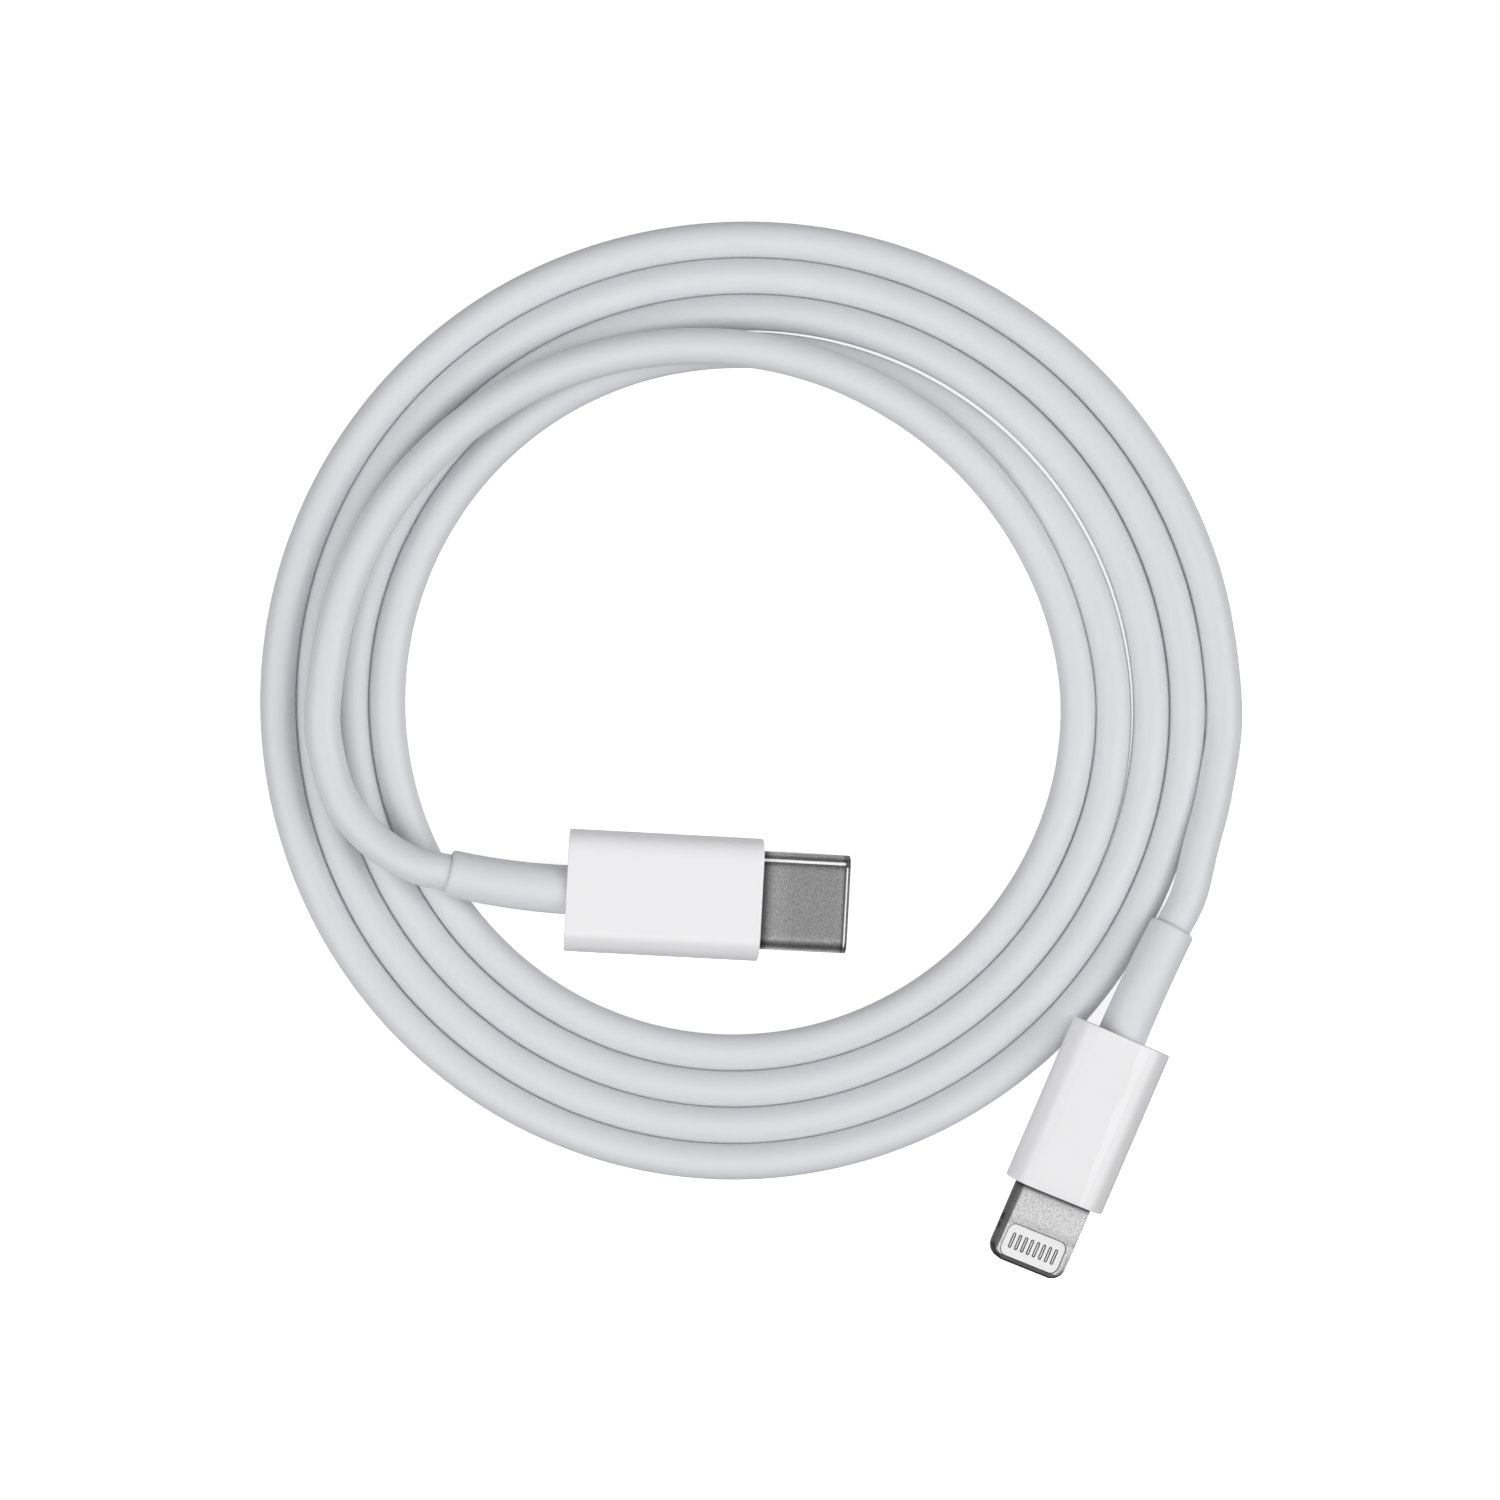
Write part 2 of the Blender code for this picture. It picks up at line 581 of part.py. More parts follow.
def pad_places():
    """The offset of each contact across the tab, and which face it is on."""
    for side, face in ((1, "top"), (-1, "bottom")):
        for i in range(PAD_COUNT):
            yield f"{face}_{i + 1}", side, (i - (PAD_COUNT - 1) / 2) * PAD_PITCH


def make_eight_pin_tab(look, parent):
    """The solid metal tab: round corners at the tip, a window for the insert, and a detent in each side."""
    tip = E_LENGTH + TAB_REACH
    half = TAB_WIDTH / 2
    inside_half = 3.0 * MM
    shoulder = E_LENGTH - FRONT_WALL - 0.2 * MM
    radii = (TAB_CORNER, TAB_CORNER)
    outline = arc((tip - TAB_CORNER, half - TAB_CORNER), radii, 0, 90, 5)
    outline += [(shoulder, half), (shoulder, inside_half), (TAB_START, inside_half)]
    outline += [(x, -y) for x, y in reversed(outline)]
    body = extruded("eight_pin_tab", outline, TAB_THICK, Matrix.Identity(4))
    tab = add_part("eight_pin_tab", body, look, parent, bevel=(TAB_EDGE, 2))
    length, width = INSERT_LENGTH + 2 * INSERT_GAP, INSERT_WIDTH + 2 * INSERT_GAP
    window = round_cornered(length, width, INSERT_CORNER + INSERT_GAP)
    place = Matrix.Translation((insert_centre(), 0, 0))
    cut(tab, "eight_pin_window", extruded("window", window, TAB_THICK * 2, place))
    work = bmesh.new()
    for side in (-1, 1):
        spot = Matrix.Translation((tip - NOTCH_FROM_TIP, side * (half + 0.05 * MM), 0))
        size = Matrix.Diagonal((0.75 * MM, 0.40 * MM, 0.42 * MM, 1.0))
        bmesh.ops.create_uvsphere(work, u_segments=16, v_segments=8, radius=1.0, matrix=spot @ size)
    detents = bpy.data.meshes.new("detents")
    work.to_mesh(detents)
    work.free()
    cut(tab, "eight_pin_detents", detents)


def make_eight_pin_insert(look, parent):
    """The moulded block that fills the window, with a shallow pocket for each contact on both faces."""
    outline = round_cornered(INSERT_LENGTH, INSERT_WIDTH, INSERT_CORNER)
    thick = TAB_THICK - 0.06 * MM
    place = Matrix.Translation((insert_centre(), 0, 0))
    insert = add_part("eight_pin_insert", extruded("eight_pin_insert", outline, thick, place), look, parent)
    pockets = []
    half_l, half_w = PAD_LENGTH / 2 + 0.04 * MM, PAD_WIDTH / 2 + 0.04 * MM
    for _, side, y in pad_places():
        z = sorted((side * (thick / 2 - 0.14 * MM), side * thick))
        low = (insert_centre() - half_l, y - half_w, z[0])
        pockets.append((low, (insert_centre() + half_l, y + half_w, z[1])))
    cut(insert, "eight_pin_pockets", boxes("pockets", pockets))


def make_eight_pin_contacts(look, parent):
    """Flat plated contacts, each a little long plate with round corners."""
    outline = round_cornered(PAD_LENGTH, PAD_WIDTH, 0.12 * MM, steps=2)
    mesh = extruded("eight_pin_contact", outline, 0.10 * MM, Matrix.Identity(4))
    height = TAB_THICK / 2 - 0.03 * MM - 0.06 * MM
    for name, side, y in pad_places():
        contact = add_part("eight_pin_contact_" + name, mesh, look, parent)
        contact.location = (insert_centre(), y, side * height)


def make_eight_pin_plug(looks, parent):
    opening = round_cornered(TAB_WIDTH + 0.2 * MM, TAB_THICK + 0.2 * MM, 0.3 * MM)
    make_cover("eight_pin", E_LENGTH, E_WIDTH, E_THICK, opening, looks["housing"], parent)
    make_ferrule("eight_pin", looks["crimp"], parent)
    board_start = 5.6 * MM
    make_wires("eight_pin", looks["wires"], board_start, parent)
    make_board("eight_pin", board_start, TAB_START - 0.2 * MM, 5.8 * MM, looks["board"], parent)
    make_chip("eight_pin_chip", 8.9 * MM, 2.4 * MM, 2.2 * MM, 0.6 * MM, looks["chip"], parent)
    make_shield_can("eight_pin", 4.8 * MM, TAB_START - 0.1 * MM, 6.8 * MM, 3.2 * MM, looks["steel"], parent)
    make_eight_pin_tab(looks["tab"], parent)
    make_eight_pin_insert(looks["insert"], parent)
    make_eight_pin_contacts(looks["contact"], parent)


# ---- assembly ------------------------------------------------------------------------------------------
def make_looks():
    return {
        "jacket": material("cord_jacket", (0.80, 0.81, 0.83), 0.45),
        "sleeve": material("strain_relief", (0.82, 0.82, 0.84), 0.45),
        "housing": material("housing_plastic", (0.88, 0.88, 0.89), 0.18),
        "insulator": material("black_insulator", (0.03, 0.03, 0.03), 0.5),
        "insert": material("white_insert", (0.85, 0.86, 0.87), 0.4),
        "steel": material("bead_blasted_steel", (0.42, 0.42, 0.43), 0.45, 1.0),
        "tab": material("satin_tab_metal", (0.68, 0.69, 0.70), 0.38, 1.0),
        "contact": material("plated_contact", (0.62, 0.61, 0.58), 0.3, 1.0),
        "crimp": material("crimp_brass", (0.70, 0.55, 0.28), 0.35, 1.0),
        "board": material("circuit_board", (0.05, 0.20, 0.10), 0.5),
        "chip": material("component_black", (0.04, 0.04, 0.04), 0.4),
        "wires": {
            "red": material("wire_red", (0.60, 0.03, 0.03), 0.45),
            "black": material("wire_black", (0.02, 0.02, 0.02), 0.45),
            "green": material("wire_green", (0.03, 0.35, 0.08), 0.45),
            "white": material("wire_white", (0.80, 0.80, 0.78), 0.45),
        },
    }


def axis_placement(place, heading, pitch):
    """Lays a plug's +X axis along its heading with the tip down by the pitch, before it is rolled."""
    turn = Matrix.Rotation(heading, 4, "Z") @ Matrix.Rotation(pitch, 4, "Y")
    return Matrix.Translation(place) @ turn


def main():
    looks = make_looks()
    layout = empty("laid_out_cable", None, Matrix.Translation(COIL_CENTRE))
    ends = {}
    for prefix, place, heading, pitch, roll, bend, make_plug in (
        ("usb_c", C_PLACE, C_HEADING, C_PITCH, C_ROLL, C_SLEEVE_BEND, make_usb_c_plug),
        ("eight_pin", E_PLACE, E_HEADING, E_PITCH, E_ROLL, E_SLEEVE_BEND, make_eight_pin_plug),
    ):
        matrix = axis_placement(place, heading, pitch)
        ends[prefix] = sleeve_exit(matrix, bend)
        axis = empty(prefix + "_axis", layout, matrix)
        make_sleeve(prefix, bend, looks["sleeve"], looks["jacket"], axis)
        pivot = Vector((-SLEEVE_LENGTH / 2, 0, 0))
        hinge = empty(prefix + "_hinge", axis, Matrix.Translation(pivot) @ Matrix.Rotation(roll, 4, "X"))
        body = empty(prefix + "_plug", hinge, Matrix.Translation(-pivot))
        make_plug(looks, body)
    make_cord_coil(looks["jacket"], layout)
    make_cord_tubes(looks["jacket"], layout, ends["eight_pin"], ends["usb_c"])


clear_scene()
CABLE = new_collection("charging_cable")
CUTTERS = new_collection("cutters")
main()
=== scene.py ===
import json
import math

import bmesh
import bpy
from mathutils import Matrix, Vector


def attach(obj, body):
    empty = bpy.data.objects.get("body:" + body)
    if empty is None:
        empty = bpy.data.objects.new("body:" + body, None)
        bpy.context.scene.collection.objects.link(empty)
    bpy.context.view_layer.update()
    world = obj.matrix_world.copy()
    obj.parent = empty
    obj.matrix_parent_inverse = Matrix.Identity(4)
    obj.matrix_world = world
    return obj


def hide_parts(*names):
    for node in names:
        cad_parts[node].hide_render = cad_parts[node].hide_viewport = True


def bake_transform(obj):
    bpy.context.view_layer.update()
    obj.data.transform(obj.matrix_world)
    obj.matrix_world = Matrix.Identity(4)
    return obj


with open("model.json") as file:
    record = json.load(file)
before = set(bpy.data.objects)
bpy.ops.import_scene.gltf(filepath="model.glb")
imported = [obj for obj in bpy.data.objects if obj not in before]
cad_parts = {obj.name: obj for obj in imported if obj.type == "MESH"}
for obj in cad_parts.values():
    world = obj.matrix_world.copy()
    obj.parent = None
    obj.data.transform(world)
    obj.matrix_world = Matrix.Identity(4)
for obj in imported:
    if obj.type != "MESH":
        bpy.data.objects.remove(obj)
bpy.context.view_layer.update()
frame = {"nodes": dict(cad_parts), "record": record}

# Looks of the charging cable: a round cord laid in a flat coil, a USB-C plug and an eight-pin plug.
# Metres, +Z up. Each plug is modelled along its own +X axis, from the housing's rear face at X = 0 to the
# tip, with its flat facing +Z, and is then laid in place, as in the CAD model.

MM = 0.001
SHARP = 35.0  # edges that turn more than this many degrees stay sharp
CUT_SHARP = 28.0  # the same for the tab and the insert, whose cuts leave shallower edges

# ---- cord and coil -------------------------------------------------------------------------------------
CORD_R = 1.5 * MM
TURNS = 4
PITCH = 3.06 * MM
COIL_OUTER_R = 41.58 * MM
COIL_OVAL = 0.19 * MM
STEP_START, STEP_SPAN = math.radians(-15), math.radians(122)
LAST_STEP_LEAD = math.radians(7)  # the last turn steps in this much sooner, which leaves a fine gap beside it
COIL_CENTRE = Vector((-7.13, 29.62, 0.0)) * MM
POINTS_PER_TURN = 24
JACKET_R = 1.53 * MM  # the soft jacket as it is seen, where neighbouring turns press together
CORD_STEP = 1.0 * MM  # spacing of the rings along the cord's surface
FINE_STEPS = 20  # straight pieces between two points of the route, before they are spaced evenly
TUCK = 1.5 * MM  # how far the cord's end is seen to go into a sleeve
REST_SHARE = 0.91  # the strand on top lies on those below, without the clearance that its CAD solid has
# The cord's line from the coil to each plug's sleeve, in millimetres from the coil's centre.
LEAD_ROUTE = [(39.2, -12.4, 2.9), (40.5, -7.2, 2.2)]
TAIL_ROUTE = [
    (27.7, 7.4, 1.6),
    (24.6, 14.2, 2.25),
    (20.05, 20.05, 3.4),
    (14.3, 24.7, 4.25),
    (7.5, 28.05, 4.72),
    (0.0, 29.7, 4.82),
    (-7.9, 29.45, 4.82),
    (-15.7, 27.25, 4.82),
    (-22.9, 22.9, 4.82),
    (-28.85, 16.65, 4.82),
    (-32.8, 8.8, 4.82),
    (-34.45, 0.0, 4.82),
    (-34.05, -4.9, 4.85),
    (-32.7, -8.7, 4.95),
    (-30.1, -11.7, 5.05),
]

# ---- both plugs ----------------------------------------------------------------------------------------
SLEEVE_LENGTH = 10.05 * MM
SLEEVE_R_CORD = 1.95 * MM
SLEEVE_R_PLUG = 2.08 * MM
SLEEVE_STUB = 0.55 * MM  # how far the sleeve goes into the housing
SLEEVE_EDGE = 0.28 * MM
SLEEVE_GAP = 0.02 * MM  # between the cord's jacket and the sleeve's bore
SLEEVE_FLARE, SLEEVE_FLARE_DEPTH = 0.08 * MM, 0.1 * MM
REAR_HOLE_R = 2.16 * MM
REAR_WALL, SIDE_WALL, FRONT_WALL = 0.70 * MM, 0.62 * MM, 0.80 * MM
RIM_ROUNDING = 0.15 * MM
SIDE_ROUNDING = 1.85 * MM
CORD_END_REACH = 3.2 * MM
SLOT_GAP = 0.08 * MM  # between a housing's front slot and the shell or tab that comes out of it

# ---- USB-C plug ----------------------------------------------------------------------------------------
C_LENGTH, C_WIDTH, C_THICK = 16.3 * MM, 10.3 * MM, 5.2 * MM
C_PLACE = Vector((-14.0, -15.80, 3.88)) * MM  # of the housing's rear face, from the coil's centre
C_HEADING, C_PITCH, C_ROLL = math.radians(-3.1), math.radians(4.5), 0.0
C_SLEEVE_BEND = (0.92 * MM, 0.20 * MM)  # how far the sleeve's thin end curves sideways and up
SHELL_WIDTH, SHELL_THICK, SHELL_WALL = 8.25 * MM, 2.40 * MM, 0.25 * MM
SHELL_REACH, SHELL_START = 7.4 * MM, 12.3 * MM  # how far it stands out, and where it begins in the housing
LIP_STEPS = 12

# ---- eight-pin plug ------------------------------------------------------------------------------------
E_LENGTH, E_WIDTH, E_THICK = 14.5 * MM, 8.8 * MM, 5.0 * MM
E_PLACE = Vector((32.61, -28.07, 3.80)) * MM  # of the housing's rear face, from the coil's centre
E_HEADING, E_PITCH, E_ROLL = math.radians(-113.2), math.radians(2.5), math.radians(-15.0)
E_SLEEVE_BEND = (0.35 * MM, -0.70 * MM)
TAB_WIDTH, TAB_THICK, TAB_REACH, TAB_START = 6.7 * MM, 1.5 * MM, 6.7 * MM, 11.2 * MM
TAB_CORNER, TAB_EDGE, TAB_SHOULDER_W = 1.25 * MM, 0.22 * MM, 6.0 * MM
TAB_SHOULDER_TUCK, TAB_SLOT_CORNER = 0.2 * MM, 0.25 * MM
NOTCH_FROM_TIP = 3.0 * MM
NOTCH_SIZE = (0.75 * MM, 0.40 * MM, 0.42 * MM)  # half sizes of the ellipsoid that cuts each detent
NOTCH_OUTSET = 0.05 * MM  # how far outside the tab's side its middle lies
# The white insert in the tab's window, and the contacts (pads) in its pockets.
INSERT_LENGTH, INSERT_WIDTH, INSERT_CORNER = 2.80 * MM, 5.35 * MM, 0.65 * MM
INSERT_FROM_TIP, INSERT_GAP = 0.45 * MM, 0.05 * MM
INSERT_THICK = TAB_THICK - 0.06 * MM
PAD_LENGTH, PAD_WIDTH, PAD_PITCH, PAD_COUNT = 1.26 * MM, 0.19 * MM, 0.566 * MM, 8
PAD_GAP = 0.06 * MM
PAD_LEVEL = TAB_THICK / 2 - 0.09 * MM  # height of a contact's middle from the tab's middle plane
PAD_HALF_THICK = 0.05 * MM
POCKET_DEPTH = 0.14 * MM
PAD_END = 2.2  # a contact's width over the radius of its rounded ends
SMALL_EDGE = 0.06 * MM

# ---- looks ---------------------------------------------------------------------------------------------
NOISE_LOW, NOISE_HIGH = 0.3, 0.7  # most of a noise texture's values lie between these
JACKET_WHITE = (0.735, 0.746, 0.768)
HOUSING_WHITE = (0.905, 0.898, 0.91)
E_HOUSING_WHITE = (0.86, 0.853, 0.865)
INSERT_WHITE = (0.875, 0.875, 0.88)
# Painted shade: how pale the housings' plastic looks, by the surface's sideways direction, one rounded side
# painted paler and the other darker.
C_SIDE_SHADE = [(-1.0, 0.90), (-0.5, 0.92), (-0.1, 1.0), (0.1, 1.0), (0.5, 1.06), (1.0, 1.10)]
E_SIDE_SHADE = [(-1.0, 1.06), (-0.5, 1.03), (-0.1, 1.0), (0.0, 1.0), (0.04, 0.96), (0.2, 0.88), (0.4, 0.86)]
E_SIDE_SHADE += [(1.0, 0.88)]
# A painted sheen, a painted highlight along one edge of the eight-pin housing's flat: how much paler it is,
# and where it lies, in millimetres across. Its inner edge wanders, and tapers by this much for each
# millimetre along.
SHEEN = 0.05
SHEEN_FROM, SHEEN_TO, SHEEN_TAPER, SHEEN_WANDER = 1.12, 1.98, 0.037, 0.30
SHEEN_INNER_BLUR, SHEEN_OUTER_BLUR = 0.05, 0.08
# Greys of the polished shell, by the surface's sideways direction: painted reflections, light and dark bands,
# run along the rounded sides.
SHELL_ACROSS = [(-1.0, 0.95), (-0.90, 0.80), (-0.80, 0.36), (-0.66, 0.28), (-0.31, 0.27), (-0.24, 0.33)]
SHELL_ACROSS += [(0.0, 0.31), (0.08, 0.26), (0.15, 0.20), (0.22, 0.24), (0.52, 0.25), (0.62, 0.24)]
SHELL_ACROSS += [(0.70, 0.30), (0.78, 0.60)]
# Shares of those greys, by the distance in millimetres from the housing's face, and by the speckle's noise:
# painted shade beside the housing, and a painted dark band before the lip.
SHELL_ALONG = [(0.0, 0.33), (0.26, 0.31), (0.36, 0.42), (0.45, 0.52), (0.65, 0.82), (0.85, 1.02), (1.2, 1.18)]
SHELL_ALONG += [(1.8, 1.15), (2.6, 1.0), (6.62, 1.0), (6.80, 0.90), (6.90, 0.55), (6.96, 0.40), (7.4, 0.40)]
SHELL_SPECKLE = [(NOISE_LOW, 0.72), (NOISE_HIGH, 1.28)]
# Painted highlights: a bright line along the shell's side, and another round its lip, not metal where they
# lie. Each is placed across by the surface's sideways direction and along by the distance from the housing's
# face.
SHELL_LINE = [(0.26, 0.0), (0.32, 1.0), (0.45, 1.0), (0.52, 0.0)]
LINE_ALONG = [(0.0, 1.0), (6.94, 1.0), (7.02, 0.0)]
SHELL_LIP = [(7.06, 0.0), (7.10, 1.0), (7.18, 1.0), (7.22, 0.0)]
LIP_ACROSS = [(-0.60, 0.0), (-0.45, 1.0), (0.12, 1.0), (0.18, 0.0)]
LINE_BRIGHTNESS = 0.85
# Greys of the tab's mottled face, and shares of them: by its sideways and endways directions, by the
# millimetres across it and by the distance from the housing's face. It has a painted dark reflection at one
# side, painted shadow beside the housing's face, painted shade towards the insert's window and painted shade
# at the tip.
TAB_MOTTLE = [(NOISE_LOW, 0.36), (NOISE_HIGH, 0.90)]
TAB_ACROSS = [(-1.0, 0.17), (-0.4, 0.20), (-0.12, 0.19), (-0.07, 1.0), (1.0, 1.0)]
TAB_ENDWAYS = [(0.05, 1.0), (0.14, 0.12), (1.0, 0.12)]
TAB_SIDE = [(-3.4, 0.17), (-2.98, 0.17), (-2.93, 1.0), (3.4, 1.0)]
TAB_ALONG = [(0.0, 0.06), (0.18, 0.08), (0.30, 0.40), (0.45, 0.85), (0.60, 1.0), (2.6, 1.0), (3.1, 0.86)]
TAB_ALONG += [(3.5, 0.75), (3.6, 1.0), (6.20, 1.0), (6.26, 0.13), (6.7, 0.12)]
# Painted shade in the contacts' pockets: how dark the insert is below its face, by millimetres from the tab's
# middle plane.
POCKET_SHADE = [(0.0, 0.12), (0.68, 0.12), (0.705, 1.0)]
# How pale a contact is, by how far its surface faces up or down: painted shade darkens all but the face
# itself.
CONTACT_FACE = [(0.0, 0.08), (0.96, 0.08), (1.0, 1.0)]
CONTACT_DARK = (0.46, 0.46, 0.46)
CONTACT_PALE = (0.64, 0.64, 0.635)

# ---- studio --------------------------------------------------------------------------------------------
VIEW_CENTRE = Vector((-5.75, 25.55, 0.0)) * MM
VIEW_WIDTH = 126.05 * MM
VIEW_LEVEL = 3.0 * MM  # height at which the picture is that wide
CAMERA_HEIGHT = 1.0
SENSOR = 36.0
BACKDROP_R = 3.0
BACKDROP_DROP = 0.05  # how far the backdrop goes below the ground
FLOOR_DROP = 0.02 * MM  # the ground lies this little below the cable, so that the two never share a face
SKY_STRENGTH = 1.09
FLOOR_GREY = (0.92, 0.92, 0.92, 1.0)
FLOOR_LIFT = 0.6  # the floor's own glow, seen only by the camera: it keeps the ground white beside the cable
BACKDROP_GLOW = 0.9
WHITE, BLACK = (1.0, 1.0, 1.0, 1.0), (0.0, 0.0, 0.0, 1.0)
# Soft lights: (azimuth, elevation in degrees, how narrow, strength). The first two face each other across the
# coil, three weaker ones fill in, and the last, from below, stands in for light off the floor.
SOFT_LIGHTS = [
    (0, 42, 12.0, 3.35),
    (180, 42, 12.0, 2.4),
    (225, 42, 12.0, 1.3),
    (270, 66, 12.0, 1.25),
    (60, 14, 10.0, 0.75),
    (0, -90, 0.35, 0.5),
]


# ---- node helpers --------------------------------------------------------------------------------------
def new_material(name):
    made = bpy.data.materials.new(name)
    made.use_nodes = True
    tree = made.node_tree
    return made, tree, tree.nodes["Principled BSDF"]


def noise(tree, scale, detail=2.0, roughness=0.5):
    """A noise texture over the piece's own coordinates; scale is in cells per metre."""
    place = tree.nodes.new("ShaderNodeTexCoord")
    texture = tree.nodes.new("ShaderNodeTexNoise")
    texture.inputs["Scale"].default_value = scale
    texture.inputs["Detail"].default_value = detail
    texture.inputs["Roughness"].default_value = roughness
    tree.links.new(place.outputs["Object"], texture.inputs["Vector"])
    return texture.outputs["Fac"]


def ramp(tree, source, stops):
    """A colour ramp; each stop is (place, colour)."""
    node = tree.nodes.new("ShaderNodeValToRGB")
    elements = node.color_ramp.elements
    while len(elements) < len(stops):
        elements.new(0.5)
    for element, (place, colour) in zip(elements, stops):
        element.position = place
        element.color = (*colour, 1.0)
    tree.links.new(source, node.inputs["Fac"])
    return node.outputs["Color"]


def levels(tree, source, low, high, stops):
    """A grey ramp over a value that runs from low to high; each stop is (value, grey)."""
    share = to_range(tree, source, 0.0, 1.0, low, high)
    return ramp(tree, share, [((value - low) / (high - low), (grey, grey, grey)) for value, grey in stops])


def local(tree, output, axis):
    """One component of the piece's own position ("Object") or of its surface's own direction ("Normal")."""
    place = tree.nodes.new("ShaderNodeTexCoord")
    split = tree.nodes.new("ShaderNodeSeparateXYZ")
    tree.links.new(place.outputs[output], split.inputs["Vector"])
    return split.outputs[axis]


def millimetres(tree, axis):
    node = tree.nodes.new("ShaderNodeMath")
    node.operation = "DIVIDE"
    node.inputs[1].default_value = MM
    tree.links.new(local(tree, "Object", axis), node.inputs[0])
    return node.outputs["Value"]


def by_direction(tree, axis, stops):
    """A grey ramp over one component of the surface's own direction, from -1 to 1."""
    return levels(tree, local(tree, "Normal", axis), -1.0, 1.0, stops)


def combined(tree, operation, first, *others):
    """Multiplies or adds colours one after another, or takes the darkest."""
    total = first
    for other in others:
        node = tree.nodes.new("ShaderNodeVectorMath")
        node.operation = operation
        tree.links.new(total, node.inputs[0])
        tree.links.new(other, node.inputs[1])
        total = node.outputs["Vector"]
    return total


def scaled(tree, source, amount):
    node = tree.nodes.new("ShaderNodeMath")
    node.operation = "MULTIPLY"
    node.inputs[1].default_value = amount
    tree.links.new(source, node.inputs[0])
    return node.outputs["Value"]


def retouched(made, operation, change):
    """A material whose base colour is multiplied by a change, or has it added."""
    colour = made.node_tree.nodes["Principled BSDF"].inputs["Base Color"]
    plain = colour.links[0].from_socket
    made.node_tree.links.new(combined(made.node_tree, operation, plain, change), colour)
    return made


def to_range(tree, source, low, high, source_low=NOISE_LOW, source_high=NOISE_HIGH):
    node = tree.nodes.new("ShaderNodeMapRange")
    node.inputs["From Min"].default_value = source_low
    node.inputs["From Max"].default_value = source_high
    node.inputs["To Min"].default_value = low
    node.inputs["To Max"].default_value = high
    tree.links.new(source, node.inputs["Value"])
    return node.outputs["Result"]


def bump(tree, shader, source, strength, distance):
    node = tree.nodes.new("ShaderNodeBump")
    node.inputs["Strength"].default_value = strength
    node.inputs["Distance"].default_value = distance
    tree.links.new(source, node.inputs["Height"])
    tree.links.new(node.outputs["Normal"], shader.inputs["Normal"])


def plastic(name, colour, roughness, grain=5000.0, grain_height=0.004 * MM, tint=0.02):
    """Moulded plastic or rubber: a little cloudy in colour, with a fine moulded grain."""
    made, tree, shader = new_material(name)
    low = [max(0.0, c - tint) for c in colour]
    high = [min(1.0, c + tint) for c in colour]
    cloud = noise(tree, 260.0, 3.0)
    tree.links.new(ramp(tree, cloud, [(NOISE_LOW, low), (NOISE_HIGH, high)]), shader.inputs["Base Color"])
    rough = to_range(tree, noise(tree, 900.0), roughness * 0.9, roughness * 1.1)
    tree.links.new(rough, shader.inputs["Roughness"])
    bump(tree, shader, noise(tree, grain, 2.0), 0.5, grain_height)
    return made


def gloss(name, colour, sides):
    """Glossy white plastic, with painted shade: one rounded side is painted paler than the other."""
    made = plastic(name, colour, 0.16, grain=1500.0, grain_height=0.001 * MM, tint=0.004)
    # Painted shade: the base colour is multiplied by a ramp over the surface's sideways direction.
    return retouched(made, "MULTIPLY", by_direction(made.node_tree, "Y", sides))


def metal(name, colour, roughness, grain=9000.0, grain_height=0.006 * MM, speckle=0.12):
    """Bare or plated metal with a speckled finish."""
    made, tree, shader = new_material(name)
    fleck = noise(tree, grain, 3.0, 0.7)
    low = [c * (1 - speckle) for c in colour]
    high = [min(1.0, c * (1 + speckle)) for c in colour]
    tree.links.new(ramp(tree, fleck, [(0.35, low), (0.65, high)]), shader.inputs["Base Color"])
    shader.inputs["Metallic"].default_value = 1.0
    rough = to_range(tree, noise(tree, grain / 3), roughness * 0.85, roughness * 1.15)
    tree.links.new(rough, shader.inputs["Roughness"])
    bump(tree, shader, fleck, 0.6, grain_height)
    return made


def dimmed(stops):
    return [(place, LINE_BRIGHTNESS * share) for place, share in stops]


def mirrored(stops):
    return [(-place, share) for place, share in reversed(stops)] + stops


def inverse(stops):
    return [(place, 1.0 - share) for place, share in stops]


def shell_look():
    """Drawn steel: a blasted flat between sides banded with painted reflections, painted shade beside the
    housing and a painted highlight at its lip.
    """
    made, tree, shader = new_material("shell_steel")
    fleck = noise(tree, 6500.0, 2.0, 0.6)
    speckle = levels(tree, fleck, NOISE_LOW, NOISE_HIGH, SHELL_SPECKLE)
    start, end = C_LENGTH / MM, (C_LENGTH + SHELL_REACH) / MM
    endways = millimetres(tree, "X")

    def along(stops):
        return levels(tree, endways, start, end, [(start + distance, share) for distance, share in stops])

    def across(stops):
        return by_direction(tree, "Y", stops)

    # Painted reflections and shade: the greys across and along, with the speckle.
    grey = combined(tree, "MULTIPLY", across(SHELL_ACROSS), along(SHELL_ALONG), speckle)
    # Painted highlights: the line along the side and the one round the lip, added to the grey and not metal.
    line = combined(tree, "MULTIPLY", across(dimmed(SHELL_LINE)), along(LINE_ALONG))
    lip = combined(tree, "MULTIPLY", along(dimmed(SHELL_LIP)), across(LIP_ACROSS))
    tree.links.new(combined(tree, "ADD", grey, line, lip), shader.inputs["Base Color"])
    metallic = combined(tree, "MULTIPLY", across(inverse(SHELL_LINE)), along(inverse(SHELL_LIP)))
    tree.links.new(metallic, shader.inputs["Metallic"])
    tree.links.new(to_range(tree, fleck, 0.38, 0.46), shader.inputs["Roughness"])
    return made


